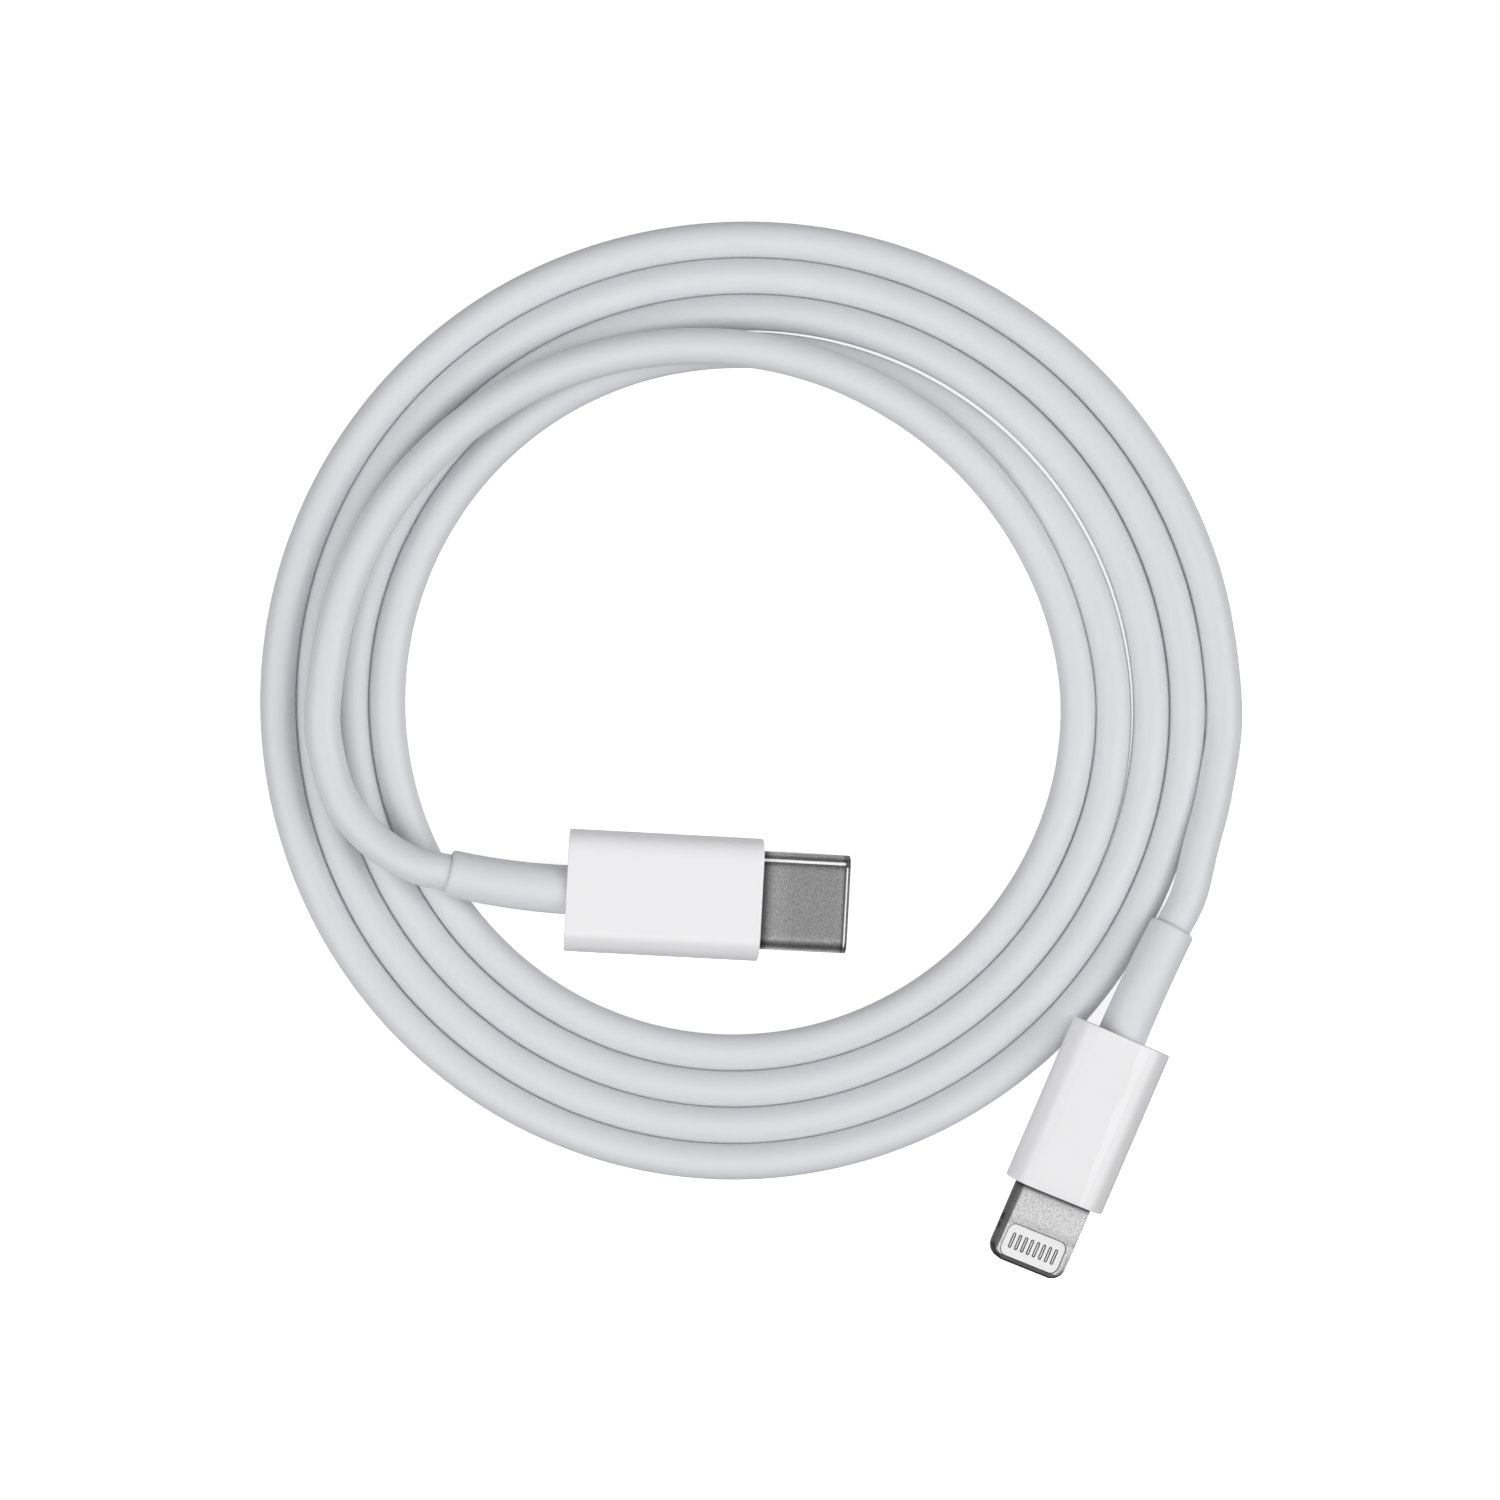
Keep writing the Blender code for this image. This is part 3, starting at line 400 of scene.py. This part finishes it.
def tab_look():
    """Plated metal: a mottled, finely blasted face, with a painted dark reflection on one side, painted
    shadow beside the housing, and painted shade towards its window and at the tip.
    """
    made, tree, shader = new_material("tab_metal")
    mottle = levels(tree, noise(tree, 5500.0, 4.0, 0.75), NOISE_LOW, NOISE_HIGH, TAB_MOTTLE)
    # Painted dark reflection on one side of the tab.
    side = levels(tree, millimetres(tree, "Y"), TAB_SIDE[0][0], TAB_SIDE[-1][0], TAB_SIDE)
    across = combined(tree, "MINIMUM", by_direction(tree, "Y", TAB_ACROSS), side)
    # Painted shadow beside the housing's face, painted shade towards the window and at the tip.
    start = E_LENGTH / MM
    stops = [(start + distance, share) for distance, share in TAB_ALONG]
    along = levels(tree, millimetres(tree, "X"), start, start + TAB_REACH / MM, stops)
    colour = combined(tree, "MULTIPLY", across, by_direction(tree, "X", TAB_ENDWAYS), along, mottle)
    tree.links.new(colour, shader.inputs["Base Color"])
    shader.inputs["Metallic"].default_value = 0.2
    tree.links.new(to_range(tree, noise(tree, 3000.0), 0.46, 0.56), shader.inputs["Roughness"])
    return made


def painted_sheen_look():
    """The glossy plastic again, with painted shade on its sides and a faint painted sheen, a painted
    highlight, along one edge of its flat.
    """
    made = gloss("housing_gloss_painted_sheen", E_HOUSING_WHITE, E_SIDE_SHADE)
    tree = made.node_tree
    across = millimetres(tree, "Y")
    taper = scaled(tree, millimetres(tree, "X"), -SHEEN_TAPER)
    wander = to_range(tree, noise(tree, 320.0, 1.0), -SHEEN_WANDER / 2, SHEEN_WANDER / 2)
    edge = combined(tree, "ADD", across, taper, wander)
    inside = [(SHEEN_FROM - SHEEN_INNER_BLUR, 0.0), (SHEEN_FROM + SHEEN_INNER_BLUR, SHEEN)]
    outside = [(SHEEN_TO - SHEEN_OUTER_BLUR, 1.0), (SHEEN_TO + SHEEN_OUTER_BLUR, 0.0)]
    inner = levels(tree, edge, SHEEN_FROM - 1.0, SHEEN_FROM + 1.0, inside)
    outer = levels(tree, across, SHEEN_TO - 1.0, SHEEN_TO + 1.0, outside)
    # Painted highlight: the sheen is added to the base colour.
    return retouched(made, "ADD", combined(tree, "MULTIPLY", inner, outer))


def insert_look():
    """White plastic, with painted shade below its faces, where the contacts' pockets are."""
    made = plastic("insert_plastic", INSERT_WHITE, 0.35, tint=0.006)
    tree = made.node_tree
    # Painted shade in the pockets.
    depth = levels(tree, millimetres(tree, "Z"), -1.0, 1.0, mirrored(POCKET_SHADE))
    return retouched(made, "MULTIPLY", depth)


def contact_look():
    """Plated contacts: a pale face with painted shade on their edges."""
    made, tree, shader = new_material("plated_contact")
    # Painted shade on the edges.
    face = by_direction(tree, "Z", mirrored(CONTACT_FACE))
    cloud = ramp(tree, noise(tree, 4000.0, 3.0, 0.7), [(0.35, CONTACT_DARK), (0.65, CONTACT_PALE)])
    tree.links.new(combined(tree, "MULTIPLY", face, cloud), shader.inputs["Base Color"])
    shader.inputs["Metallic"].default_value = 1.0
    tree.links.new(to_range(tree, noise(tree, 3000.0), 0.28, 0.40), shader.inputs["Roughness"])
    return made


def make_looks():
    return {
        "jacket": plastic("cord_jacket", JACKET_WHITE, 0.42, tint=0.006),
        "sleeve": plastic("strain_relief_rubber", JACKET_WHITE, 0.40, tint=0.006),
        "housing": gloss("housing_gloss", HOUSING_WHITE, C_SIDE_SHADE),
        "painted_sheen_housing": painted_sheen_look(),
        "insert": insert_look(),
        "insulator": plastic("insulator_black", (0.02, 0.02, 0.02), 0.5, tint=0.006),
        "board": plastic("board_green", (0.05, 0.20, 0.10), 0.45, tint=0.02),
        "component": plastic("component_black", (0.04, 0.04, 0.04), 0.45, tint=0.01),
        "wire_red": plastic("wire_red", (0.60, 0.03, 0.03), 0.4, tint=0.02),
        "wire_black": plastic("wire_black", (0.02, 0.02, 0.02), 0.4, tint=0.006),
        "wire_green": plastic("wire_green", (0.03, 0.35, 0.08), 0.4, tint=0.02),
        "wire_white": plastic("wire_white", (0.75, 0.75, 0.73), 0.4, tint=0.02),
        "shell_steel": shell_look(),
        "tab_metal": tab_look(),
        "contact": contact_look(),
        "crimp": metal("crimp_brass", (0.62, 0.48, 0.24), 0.35),
        "screen": metal("screen_steel", (0.50, 0.50, 0.51), 0.35),
    }


def dress_nodes(looks):
    """Gives each CAD node the finish of its own material slot."""
    for part in frame["record"]["subparts"]:
        node = frame["nodes"][part["node"]]
        node.data.materials.clear()
        node.data.materials.append(looks[part["material_slot"]])


# ---- mesh helpers --------------------------------------------------------------------------------------
def finish_mesh(work, name, look):
    bmesh.ops.recalc_face_normals(work, faces=work.faces)
    mesh = bpy.data.meshes.new(name)
    work.to_mesh(mesh)
    work.free()
    mesh.materials.append(look)
    mesh.shade_smooth()
    mesh.set_sharp_from_angle(angle=math.radians(SHARP))
    return mesh


def add_piece(name, mesh, matrix=None):
    obj = bpy.data.objects.new(name, mesh)
    bpy.context.scene.collection.objects.link(obj)
    if matrix is not None:
        obj.matrix_world = matrix
    return obj


def loft(name, rings, look, closed=False):
    """Joins rings of 3-D points, all of one length. It caps both ends, unless it is closed on itself."""
    work = bmesh.new()
    made = [[work.verts.new(point) for point in ring] for ring in rings]
    pairs = list(zip(made, made[1:]))
    if closed:
        pairs.append((made[-1], made[0]))
    for first, second in pairs:
        for i in range(len(first)):
            j = (i + 1) % len(first)
            work.faces.new((first[i], first[j], second[j], second[i]))
    if not closed:
        work.faces.new(made[0])
        work.faces.new(list(reversed(made[-1])))
    return finish_mesh(work, name, look)


def directions(count=192):
    return [2 * math.pi * i / count for i in range(count)]


def round_sided(width, thick, side):
    """Outline with a flat top and bottom and elliptical sides, as points at even angles round the centre."""
    flat, half = width / 2 - side, thick / 2
    points = []
    for angle in directions():
        c, s = abs(math.cos(angle)), abs(math.sin(angle))
        reach = half / s if s > 1e-9 else math.inf
        if reach * c > flat:
            a = (c / side) ** 2 + (s / half) ** 2
            b = -2 * c * flat / side ** 2
            reach = (-b + math.sqrt(b * b - 4 * a * ((flat / side) ** 2 - 1))) / (2 * a)
        points.append((reach * math.cos(angle), reach * math.sin(angle)))
    return points


def circle(radius):
    return [(radius * math.cos(angle), radius * math.sin(angle)) for angle in directions()]


def at_x(x, outline):
    return [(x, y, z) for y, z in outline]


def rim(face_x, inward, radius, steps=6):
    """(x, inset) round a rounded rim, from the end face to the side; inward is +1 or -1 along X."""
    for i in range(steps + 1):
        angle = math.pi / 2 * i / steps
        yield face_x + inward * radius * (1 - math.cos(angle)), radius * (1 - math.sin(angle))


def arc(centre, radius, start, end, steps):
    points = []
    for i in range(steps + 1):
        angle = math.radians(start + (end - start) * i / steps)
        points.append((centre[0] + radius * math.cos(angle), centre[1] + radius * math.sin(angle)))
    return points


def round_cornered(length, width, corner, steps=10, centre_x=0.0):
    x, y = length / 2 - corner, width / 2 - corner
    points = arc((centre_x + x, y), corner, 0, 90, steps) + arc((centre_x - x, y), corner, 90, 180, steps)
    points += arc((centre_x - x, -y), corner, 180, 270, steps)
    return points + arc((centre_x + x, -y), corner, 270, 360, steps)


def slab(outline, low, high):
    """A bmesh prism of an outline in X and Y, from height low to height high."""
    work = bmesh.new()
    bottom = work.faces.new([work.verts.new((x, y, low)) for x, y in outline])
    made = bmesh.ops.extrude_face_region(work, geom=[bottom])
    lifted = [v for v in made["geom"] if isinstance(v, bmesh.types.BMVert)]
    bmesh.ops.translate(work, vec=(0, 0, high - low), verts=lifted)
    bmesh.ops.recalc_face_normals(work, faces=work.faces)
    return work


def cut(obj, cutter_mesh):
    """Takes a mesh in the piece's own frame away from it, and applies the result."""
    cutter = add_piece("cutter", cutter_mesh, obj.matrix_world.copy())
    modifier = obj.modifiers.new("cut", "BOOLEAN")
    modifier.operation, modifier.solver, modifier.object = "DIFFERENCE", "EXACT", cutter
    apply_modifiers(obj)
    bpy.data.objects.remove(cutter)


def apply_modifiers(obj):
    bpy.context.view_layer.update()
    graph = bpy.context.evaluated_depsgraph_get()
    mesh = bpy.data.meshes.new_from_object(obj.evaluated_get(graph))
    obj.modifiers.clear()
    old, obj.data = obj.data, mesh
    bpy.data.meshes.remove(old)


def round_edges(obj, width, segments, angle=40.0):
    """Rounds the edges that turn more than this angle in degrees."""
    modifier = obj.modifiers.new("rounded_edges", "BEVEL")
    modifier.width, modifier.segments = width, segments
    modifier.limit_method, modifier.angle_limit = "ANGLE", math.radians(angle)
    modifier.harden_normals = True


# ---- placement -----------------------------------------------------------------------------------------
def axis_matrix(place, heading, pitch):
    turn = Matrix.Rotation(heading, 4, "Z") @ Matrix.Rotation(pitch, 4, "Y")
    return Matrix.Translation(COIL_CENTRE + place) @ turn


def sleeve_point(x, bend):
    share = min(0.0, x / SLEEVE_LENGTH) ** 2
    return Vector((x, bend[0] * share, bend[1] * share))


C_AXIS = axis_matrix(C_PLACE, C_HEADING, C_PITCH)
E_AXIS = axis_matrix(E_PLACE, E_HEADING, E_PITCH)
C_PLUG = C_AXIS @ Matrix.Rotation(C_ROLL, 4, "X")
E_PLUG = E_AXIS @ Matrix.Rotation(E_ROLL, 4, "X")


# ---- cord ----------------------------------------------------------------------------------------------
def step_in(angle):
    """How many pitches the cord has stepped in after turning by this angle: one near the start of a turn."""
    last = 2 * math.pi * (TURNS - 1) + STEP_START
    lead = LAST_STEP_LEAD if last - LAST_STEP_LEAD <= angle < last + math.pi else 0.0
    turn, rest = divmod(angle - STEP_START + lead, 2 * math.pi)
    part = min(1.0, rest / STEP_SPAN)
    return turn + part * part * (3 - 2 * part)


def coil_point(angle):
    radius = COIL_OUTER_R - PITCH * step_in(angle) - COIL_OVAL * math.cos(2 * angle)
    return Vector((radius * math.cos(angle), radius * math.sin(angle), CORD_R))


def resting(point):
    """A point of the tail's route, lowered onto the strands below it."""
    x, y, z = (part * MM for part in point)
    return COIL_CENTRE + Vector((x, y, CORD_R + (z - CORD_R) * REST_SHARE))


def smooth_route(points, step):
    """Points about one step apart on a smooth curve (a Catmull-Rom spline) through the route's points."""
    ends = [points[0] * 2 - points[1]] + points + [points[-1] * 2 - points[-2]]
    fine = []
    for a, b, c, d in zip(ends, ends[1:], ends[2:], ends[3:]):
        for i in range(FINE_STEPS):
            t = i / FINE_STEPS
            bend = (a * 2 - b * 5 + c * 4 - d) * t * t + (b * 3 - a - c * 3 + d) * t * t * t
            fine.append((b * 2 + (c - a) * t + bend) / 2)
    fine.append(points[-1])
    lengths = [0.0]
    for a, b in zip(fine, fine[1:]):
        lengths.append(lengths[-1] + (b - a).length)
    count = max(2, round(lengths[-1] / step))
    route, at = [], 0
    for i in range(count + 1):
        wanted = lengths[-1] * i / count
        while at < len(fine) - 2 and lengths[at + 1] < wanted:
            at += 1
        share = (wanted - lengths[at]) / (lengths[at + 1] - lengths[at])
        route.append(fine[at].lerp(fine[at + 1], min(1.0, share)))
    return route


def sleeve_mouth(axis, bend):
    """Points on the cord's line where it comes out of a sleeve: first inside it, then just outside."""
    inside = axis @ sleeve_point(-SLEEVE_LENGTH + TUCK, bend)
    mouth = axis @ sleeve_point(-SLEEVE_LENGTH, bend)
    outside = mouth + (mouth - inside).normalized() * 2 * CORD_R
    return [inside, mouth, outside]


def cord_route():
    """The whole cord's line, from the eight-pin plug's sleeve round the coil to the USB-C plug's sleeve."""
    lead = [COIL_CENTRE + Vector(p) * MM for p in LEAD_ROUTE]
    tail = [resting(p) for p in TAIL_ROUTE]
    count = TURNS * POINTS_PER_TURN
    turns = [COIL_CENTRE + coil_point(2 * math.pi * i / POINTS_PER_TURN) for i in range(count + 1)]
    start = sleeve_mouth(E_AXIS, E_SLEEVE_BEND)
    end = sleeve_mouth(C_AXIS, C_SLEEVE_BEND)
    points = start + lead + turns + tail + list(reversed(end))
    route = smooth_route(points, CORD_STEP)
    for point in route:
        point.z = max(point.z, JACKET_R)
    return route, start[1]


def make_cord(look):
    route, mouth = cord_route()
    curve = bpy.data.curves.new("cord", "CURVE")
    curve.dimensions = "3D"
    curve.bevel_depth = JACKET_R
    curve.bevel_resolution = 14
    curve.use_fill_caps = True
    spline = curve.splines.new("POLY")
    spline.points.add(len(route) - 1)
    for target, point in zip(spline.points, route):
        target.co = (*point, 1.0)
    curve.materials.append(look)
    cord = add_piece("cord", curve)
    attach(cord, "cable")
    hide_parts("cord_coil", "cord_lead", "cord_tail")
    return cord, mouth


# ---- sleeves and the cord's ends inside them -----------------------------------------------------------
def bent_ring(x, radius, bend, count=64):
    """A ring round the sleeve's bent centreline."""
    step = 0.02 * MM
    middle = sleeve_point(x, bend)
    along = (sleeve_point(x + step, bend) - sleeve_point(x - step, bend)).normalized()
    side = Vector((0, 0, 1)).cross(along).normalized()
    up = along.cross(side)
    ring = []
    for angle in directions(count):
        ring.append(middle + side * radius * math.cos(angle) + up * radius * math.sin(angle))
    return ring


def make_sleeve(prefix, axis, bend, look):
    bore = JACKET_R + SLEEVE_GAP
    rings = [bent_ring(-SLEEVE_LENGTH + 2 * TUCK, bore, bend)]
    rings.append(bent_ring(-SLEEVE_LENGTH + SLEEVE_FLARE_DEPTH, bore, bend))
    rings.append(bent_ring(-SLEEVE_LENGTH, bore + SLEEVE_FLARE, bend))
    for x, inset in rim(-SLEEVE_LENGTH, 1, SLEEVE_EDGE):
        rings.append(bent_ring(x, SLEEVE_R_CORD - inset, bend))
    steps = 24
    for i in range(1, steps + 1):
        share = i / steps
        x = -SLEEVE_LENGTH + SLEEVE_EDGE + (SLEEVE_LENGTH - SLEEVE_EDGE + SLEEVE_STUB) * share
        rings.append(bent_ring(x, SLEEVE_R_CORD + (SLEEVE_R_PLUG - SLEEVE_R_CORD) * share, bend))
    mesh = loft(prefix + "_sleeve", rings, look)
    sleeve = add_piece(prefix + "_sleeve", mesh, axis)
    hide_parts(prefix + "_strain_relief")
    return sleeve


def make_cord_inside(prefix, axis, bend, look):
    steps = 24
    start = -SLEEVE_LENGTH + TUCK
    span = CORD_END_REACH - start
    rings = [bent_ring(start + span * i / steps, CORD_R, bend) for i in range(steps + 1)]
    piece = add_piece(prefix + "_cord_inside", loft(prefix + "_cord_inside", rings, look), axis)
    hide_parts(prefix + "_cord_end")
    return piece


def bend_at_sleeve(piece):
    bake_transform(piece)


# ---- housings ------------------------------------------------------------------------------------------
def front_slot(width, thick, side):
    return round_sided(width + 2 * SLOT_GAP, thick + 2 * SLOT_GAP, side)


def make_housing(prefix, matrix, size, opening, look):
    """The moulded housing, hollow, with rounded rims, a round hole at the rear and a slot at the front."""
    length, width, thick = size
    plug = prefix + "_plug"

    def section(inset):
        return round_sided(width - 2 * inset, thick - 2 * inset, SIDE_ROUNDING - inset)

    up = matrix.to_3x3().inverted() @ Vector((0, 0, 1))

    def upright(ring):
        """Leans a ring of the rear face a little, so that it stands upright although the plug slopes."""
        lean = up.x / (1 - up.x ** 2)
        return [(x + lean * (y * up.y + z * up.z), y, z) for x, y, z in ring]

    rings = [upright(at_x(0, circle(REAR_HOLE_R)))]
    rings += [upright(at_x(x, section(inset))) for x, inset in rim(0, 1, RIM_ROUNDING)]
    steps = 12
    span = length - 2 * RIM_ROUNDING
    rings += [at_x(RIM_ROUNDING + span * i / steps, section(0)) for i in range(1, steps)]
    rings += [at_x(x, section(inset)) for x, inset in reversed(list(rim(length, -1, RIM_ROUNDING)))]
    rings += [at_x(length, opening), at_x(length - FRONT_WALL, opening)]
    rings += [at_x(length - FRONT_WALL, section(SIDE_WALL)), at_x(REAR_WALL, section(SIDE_WALL))]
    rings += [at_x(REAR_WALL, circle(REAR_HOLE_R))]
    housing = add_piece(prefix + "_housing", loft(prefix + "_housing", rings, look, closed=True), matrix)
    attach(housing, plug)
    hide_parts(prefix + "_cover")
    return housing


# ---- USB-C shell ---------------------------------------------------------------------------------------
def make_shell(look):
    """The drawn steel shell, a flat tube with round sides and a rolled lip at its mouth."""
    tip = C_LENGTH + SHELL_REACH
    lip = SHELL_WALL / 2

    def section(inset):
        return round_sided(SHELL_WIDTH - 2 * inset, SHELL_THICK - 2 * inset, SHELL_THICK / 2 - inset)

    rings = [at_x(SHELL_START, section(SHELL_WALL)), at_x(SHELL_START, section(0))]
    steps = 10
    span = tip - lip - SHELL_START
    rings += [at_x(SHELL_START + span * i / steps, section(0)) for i in range(1, steps)]
    for i in range(LIP_STEPS + 1):
        angle = math.pi * i / LIP_STEPS
        rings.append(at_x(tip - lip + lip * math.sin(angle), section(lip * (1 - math.cos(angle)))))
    shell = add_piece("usb_c_shell_steel", loft("usb_c_shell_steel", rings, look, closed=True), C_PLUG)
    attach(shell, "usb_c_plug")
    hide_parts("usb_c_shell")
    return shell


# ---- eight-pin tab -------------------------------------------------------------------------------------
def insert_centre():
    return E_LENGTH + TAB_REACH - INSERT_FROM_TIP - INSERT_LENGTH / 2


def make_tab(look):
    """The metal tab: rounded edges, round corners at the tip, a window and a detent in each side."""
    tip = E_LENGTH + TAB_REACH
    half = TAB_WIDTH / 2
    shoulder = E_LENGTH - FRONT_WALL - TAB_SHOULDER_TUCK
    outline = arc((tip - TAB_CORNER, half - TAB_CORNER), TAB_CORNER, 0, 90, 14)
    outline += [(shoulder, half), (shoulder, TAB_SHOULDER_W / 2), (TAB_START, TAB_SHOULDER_W / 2)]
    outline += [(x, -y) for x, y in reversed(outline)]
    body = slab(outline, -TAB_THICK / 2, TAB_THICK / 2)
    tab = add_piece("eight_pin_tab_metal", finish_mesh(body, "eight_pin_tab_metal", look), E_PLUG)
    round_edges(tab, TAB_EDGE, 5)
    apply_modifiers(tab)
    length, width = INSERT_LENGTH + 2 * INSERT_GAP, INSERT_WIDTH + 2 * INSERT_GAP
    window = round_cornered(length, width, INSERT_CORNER + INSERT_GAP, centre_x=insert_centre())
    cut(tab, finish_mesh(slab(window, -TAB_THICK, TAB_THICK), "window", look))
    work = bmesh.new()
    for side in (-1, 1):
        spot = Matrix.Translation((tip - NOTCH_FROM_TIP, side * (half + NOTCH_OUTSET), 0))
        size = Matrix.Diagonal((*NOTCH_SIZE, 1.0))
        bmesh.ops.create_uvsphere(work, u_segments=40, v_segments=20, radius=1.0, matrix=spot @ size)
    cut(tab, finish_mesh(work, "detents", look))
    tab.data.set_sharp_from_angle(angle=math.radians(CUT_SHARP))
    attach(tab, "eight_pin_plug")
    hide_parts("eight_pin_tab")


def pad_offsets():
    return [(i - (PAD_COUNT - 1) / 2) * PAD_PITCH for i in range(PAD_COUNT)]


def add_slot(work, length, width, y, level, half_thick, look):
    """Adds a slim slab with round ends, the shape of a contact or of its pocket, to a bmesh."""
    outline = [(x, y + w) for x, w in round_cornered(length, width, width / PAD_END, 5, insert_centre())]
    mesh = finish_mesh(slab(outline, level - half_thick, level + half_thick), "slot", look)
    work.from_mesh(mesh)
    bpy.data.meshes.remove(mesh)


def make_insert(look):
    """The moulded block in the tab's window, with a shallow pocket for each contact on both faces."""
    face = INSERT_THICK / 2
    outline = round_cornered(INSERT_LENGTH, INSERT_WIDTH, INSERT_CORNER, centre_x=insert_centre())
    body = slab(outline, -face, face)
    insert = add_piece("eight_pin_insert_block", finish_mesh(body, "eight_pin_insert_block", look), E_PLUG)
    round_edges(insert, SMALL_EDGE, 3)
    apply_modifiers(insert)
    length, width = PAD_LENGTH + 2 * PAD_GAP, PAD_WIDTH + 2 * PAD_GAP
    for side in (-1, 1):
        work = bmesh.new()
        for y in pad_offsets():
            add_slot(work, length, width, y, side * face, POCKET_DEPTH, look)
        cut(insert, finish_mesh(work, "pockets", look))
    insert.data.set_sharp_from_angle(angle=math.radians(CUT_SHARP))
    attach(insert, "eight_pin_plug")
    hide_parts("eight_pin_insert")


def make_pads(look):
    """Eight slim plated contacts with round ends on each face, as one piece for each face."""
    for side, face in ((1, "top"), (-1, "bottom")):
        work = bmesh.new()
        for y in pad_offsets():
            add_slot(work, PAD_LENGTH, PAD_WIDTH, y, side * PAD_LEVEL, PAD_HALF_THICK, look)
        name = f"eight_pin_contacts_{face}"
        pads = add_piece(name, finish_mesh(work, name, look), E_PLUG)
        round_edges(pads, SMALL_EDGE, 3)
        apply_modifiers(pads)
        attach(pads, "eight_pin_plug")
        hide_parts(*[f"eight_pin_contact_{face}_{i + 1}" for i in range(PAD_COUNT)])


# ---- studio --------------------------------------------------------------------------------------------
def make_floor():
    """The white ground. Only the camera sees it, so it gives no light back to the cable."""
    made, _, shader = new_material("floor_white")
    shader.inputs["Base Color"].default_value = FLOOR_GREY
    shader.inputs["Roughness"].default_value = 0.9
    shader.inputs["Specular IOR Level"].default_value = 0.1
    shader.inputs["Emission Color"].default_value = WHITE
    shader.inputs["Emission Strength"].default_value = FLOOR_LIFT
    work = bmesh.new()
    bmesh.ops.create_circle(work, cap_ends=True, segments=96, radius=BACKDROP_R)
    bmesh.ops.translate(work, vec=(0, 0, -FLOOR_DROP), verts=work.verts)
    floor = add_piece("floor", finish_mesh(work, "floor", made))
    floor.visible_diffuse = floor.visible_glossy = floor.visible_shadow = False


def make_backdrop():
    """A pale wall all round, which only the camera sees, so that it adds no light."""
    made, _, shader = new_material("backdrop_pale")
    shader.inputs["Base Color"].default_value = BLACK
    shader.inputs["Emission Color"].default_value = WHITE
    shader.inputs["Emission Strength"].default_value = BACKDROP_GLOW
    work = bmesh.new()
    bmesh.ops.create_cone(work, segments=96, radius1=BACKDROP_R, radius2=BACKDROP_R, depth=BACKDROP_R)
    bmesh.ops.translate(work, vec=(0, 0, BACKDROP_R / 2 - BACKDROP_DROP), verts=work.verts)
    wall = add_piece("backdrop", finish_mesh(work, "backdrop", made))
    wall.visible_diffuse = wall.visible_glossy = wall.visible_transmission = wall.visible_shadow = False


def soft_light(tree, direction, azimuth, elevation, narrow, strength):
    """The brightness of one soft light in each direction of the sky."""
    turn, height = math.radians(azimuth), math.radians(elevation)
    facing = tree.nodes.new("ShaderNodeVectorMath")
    facing.operation = "DOT_PRODUCT"
    towards = (math.cos(height) * math.cos(turn), math.cos(height) * math.sin(turn), math.sin(height))
    facing.inputs[1].default_value = towards
    tree.links.new(direction, facing.inputs[0])
    share = facing.outputs["Value"]
    for operation, amount in (("MAXIMUM", 0.0), ("POWER", narrow), ("MULTIPLY", strength)):
        node = tree.nodes.new("ShaderNodeMath")
        node.operation = operation
        node.inputs[1].default_value = amount
        tree.links.new(share, node.inputs[0])
        share = node.outputs["Value"]
    return share


def make_sky():
    world = bpy.data.worlds.new("soft_studio")
    bpy.context.scene.world = world
    world.use_nodes = True
    tree = world.node_tree
    direction = tree.nodes.new("ShaderNodeTexCoord").outputs["Generated"]
    total = None
    for light in SOFT_LIGHTS:
        share = soft_light(tree, direction, *light)
        total = combined(tree, "ADD", total, share) if total else share
    tree.links.new(total, tree.nodes["Background"].inputs["Color"])
    tree.nodes["Background"].inputs["Strength"].default_value = SKY_STRENGTH


def make_camera():
    data = bpy.data.cameras.new("camera")
    data.sensor_width = SENSOR
    data.lens = SENSOR * (CAMERA_HEIGHT - VIEW_LEVEL) / VIEW_WIDTH
    data.clip_start, data.clip_end = 0.05, 20.0
    camera = bpy.data.objects.new("camera", data)
    bpy.context.scene.collection.objects.link(camera)
    camera.location = VIEW_CENTRE + Vector((0, 0, CAMERA_HEIGHT))
    bpy.context.scene.camera = camera


# ---- assembly ------------------------------------------------------------------------------------------
def main():
    looks = make_looks()
    dress_nodes(looks)
    cord, mouth = make_cord(looks["jacket"])
    sleeves = {}
    for prefix, axis, bend in (("usb_c", C_AXIS, C_SLEEVE_BEND), ("eight_pin", E_AXIS, E_SLEEVE_BEND)):
        sleeves[prefix] = make_sleeve(prefix, axis, bend, looks["sleeve"])
        inside = make_cord_inside(prefix, axis, bend, looks["jacket"])
        for piece in (sleeves[prefix], inside):
            bend_at_sleeve(piece)
    c_slot = front_slot(SHELL_WIDTH, SHELL_THICK, SHELL_THICK / 2 + SLOT_GAP)
    c_housing = make_housing("usb_c", C_PLUG, (C_LENGTH, C_WIDTH, C_THICK), c_slot, looks["housing"])
    e_slot = front_slot(TAB_WIDTH, TAB_THICK, TAB_SLOT_CORNER)
    # The eight-pin housing has painted shade on its sides and a painted highlight along its flat.
    make_housing("eight_pin", E_PLUG, (E_LENGTH, E_WIDTH, E_THICK), e_slot, looks["painted_sheen_housing"])
    shell = make_shell(looks["shell_steel"])
    make_tab(looks["tab_metal"])
    make_insert(looks["insert"])
    make_pads(looks["contact"])
    plug_nodes = [n for n in sorted(frame["nodes"]) if n.startswith("usb_c_contact")]
    plug_nodes += ["usb_c_carrier", "usb_c_latch", "usb_c_ground_spring_top", "usb_c_ground_spring_bottom"]
    make_floor()
    make_backdrop()
    make_sky()
    make_camera()
    bpy.context.scene.view_settings.view_transform = "Standard"


main()
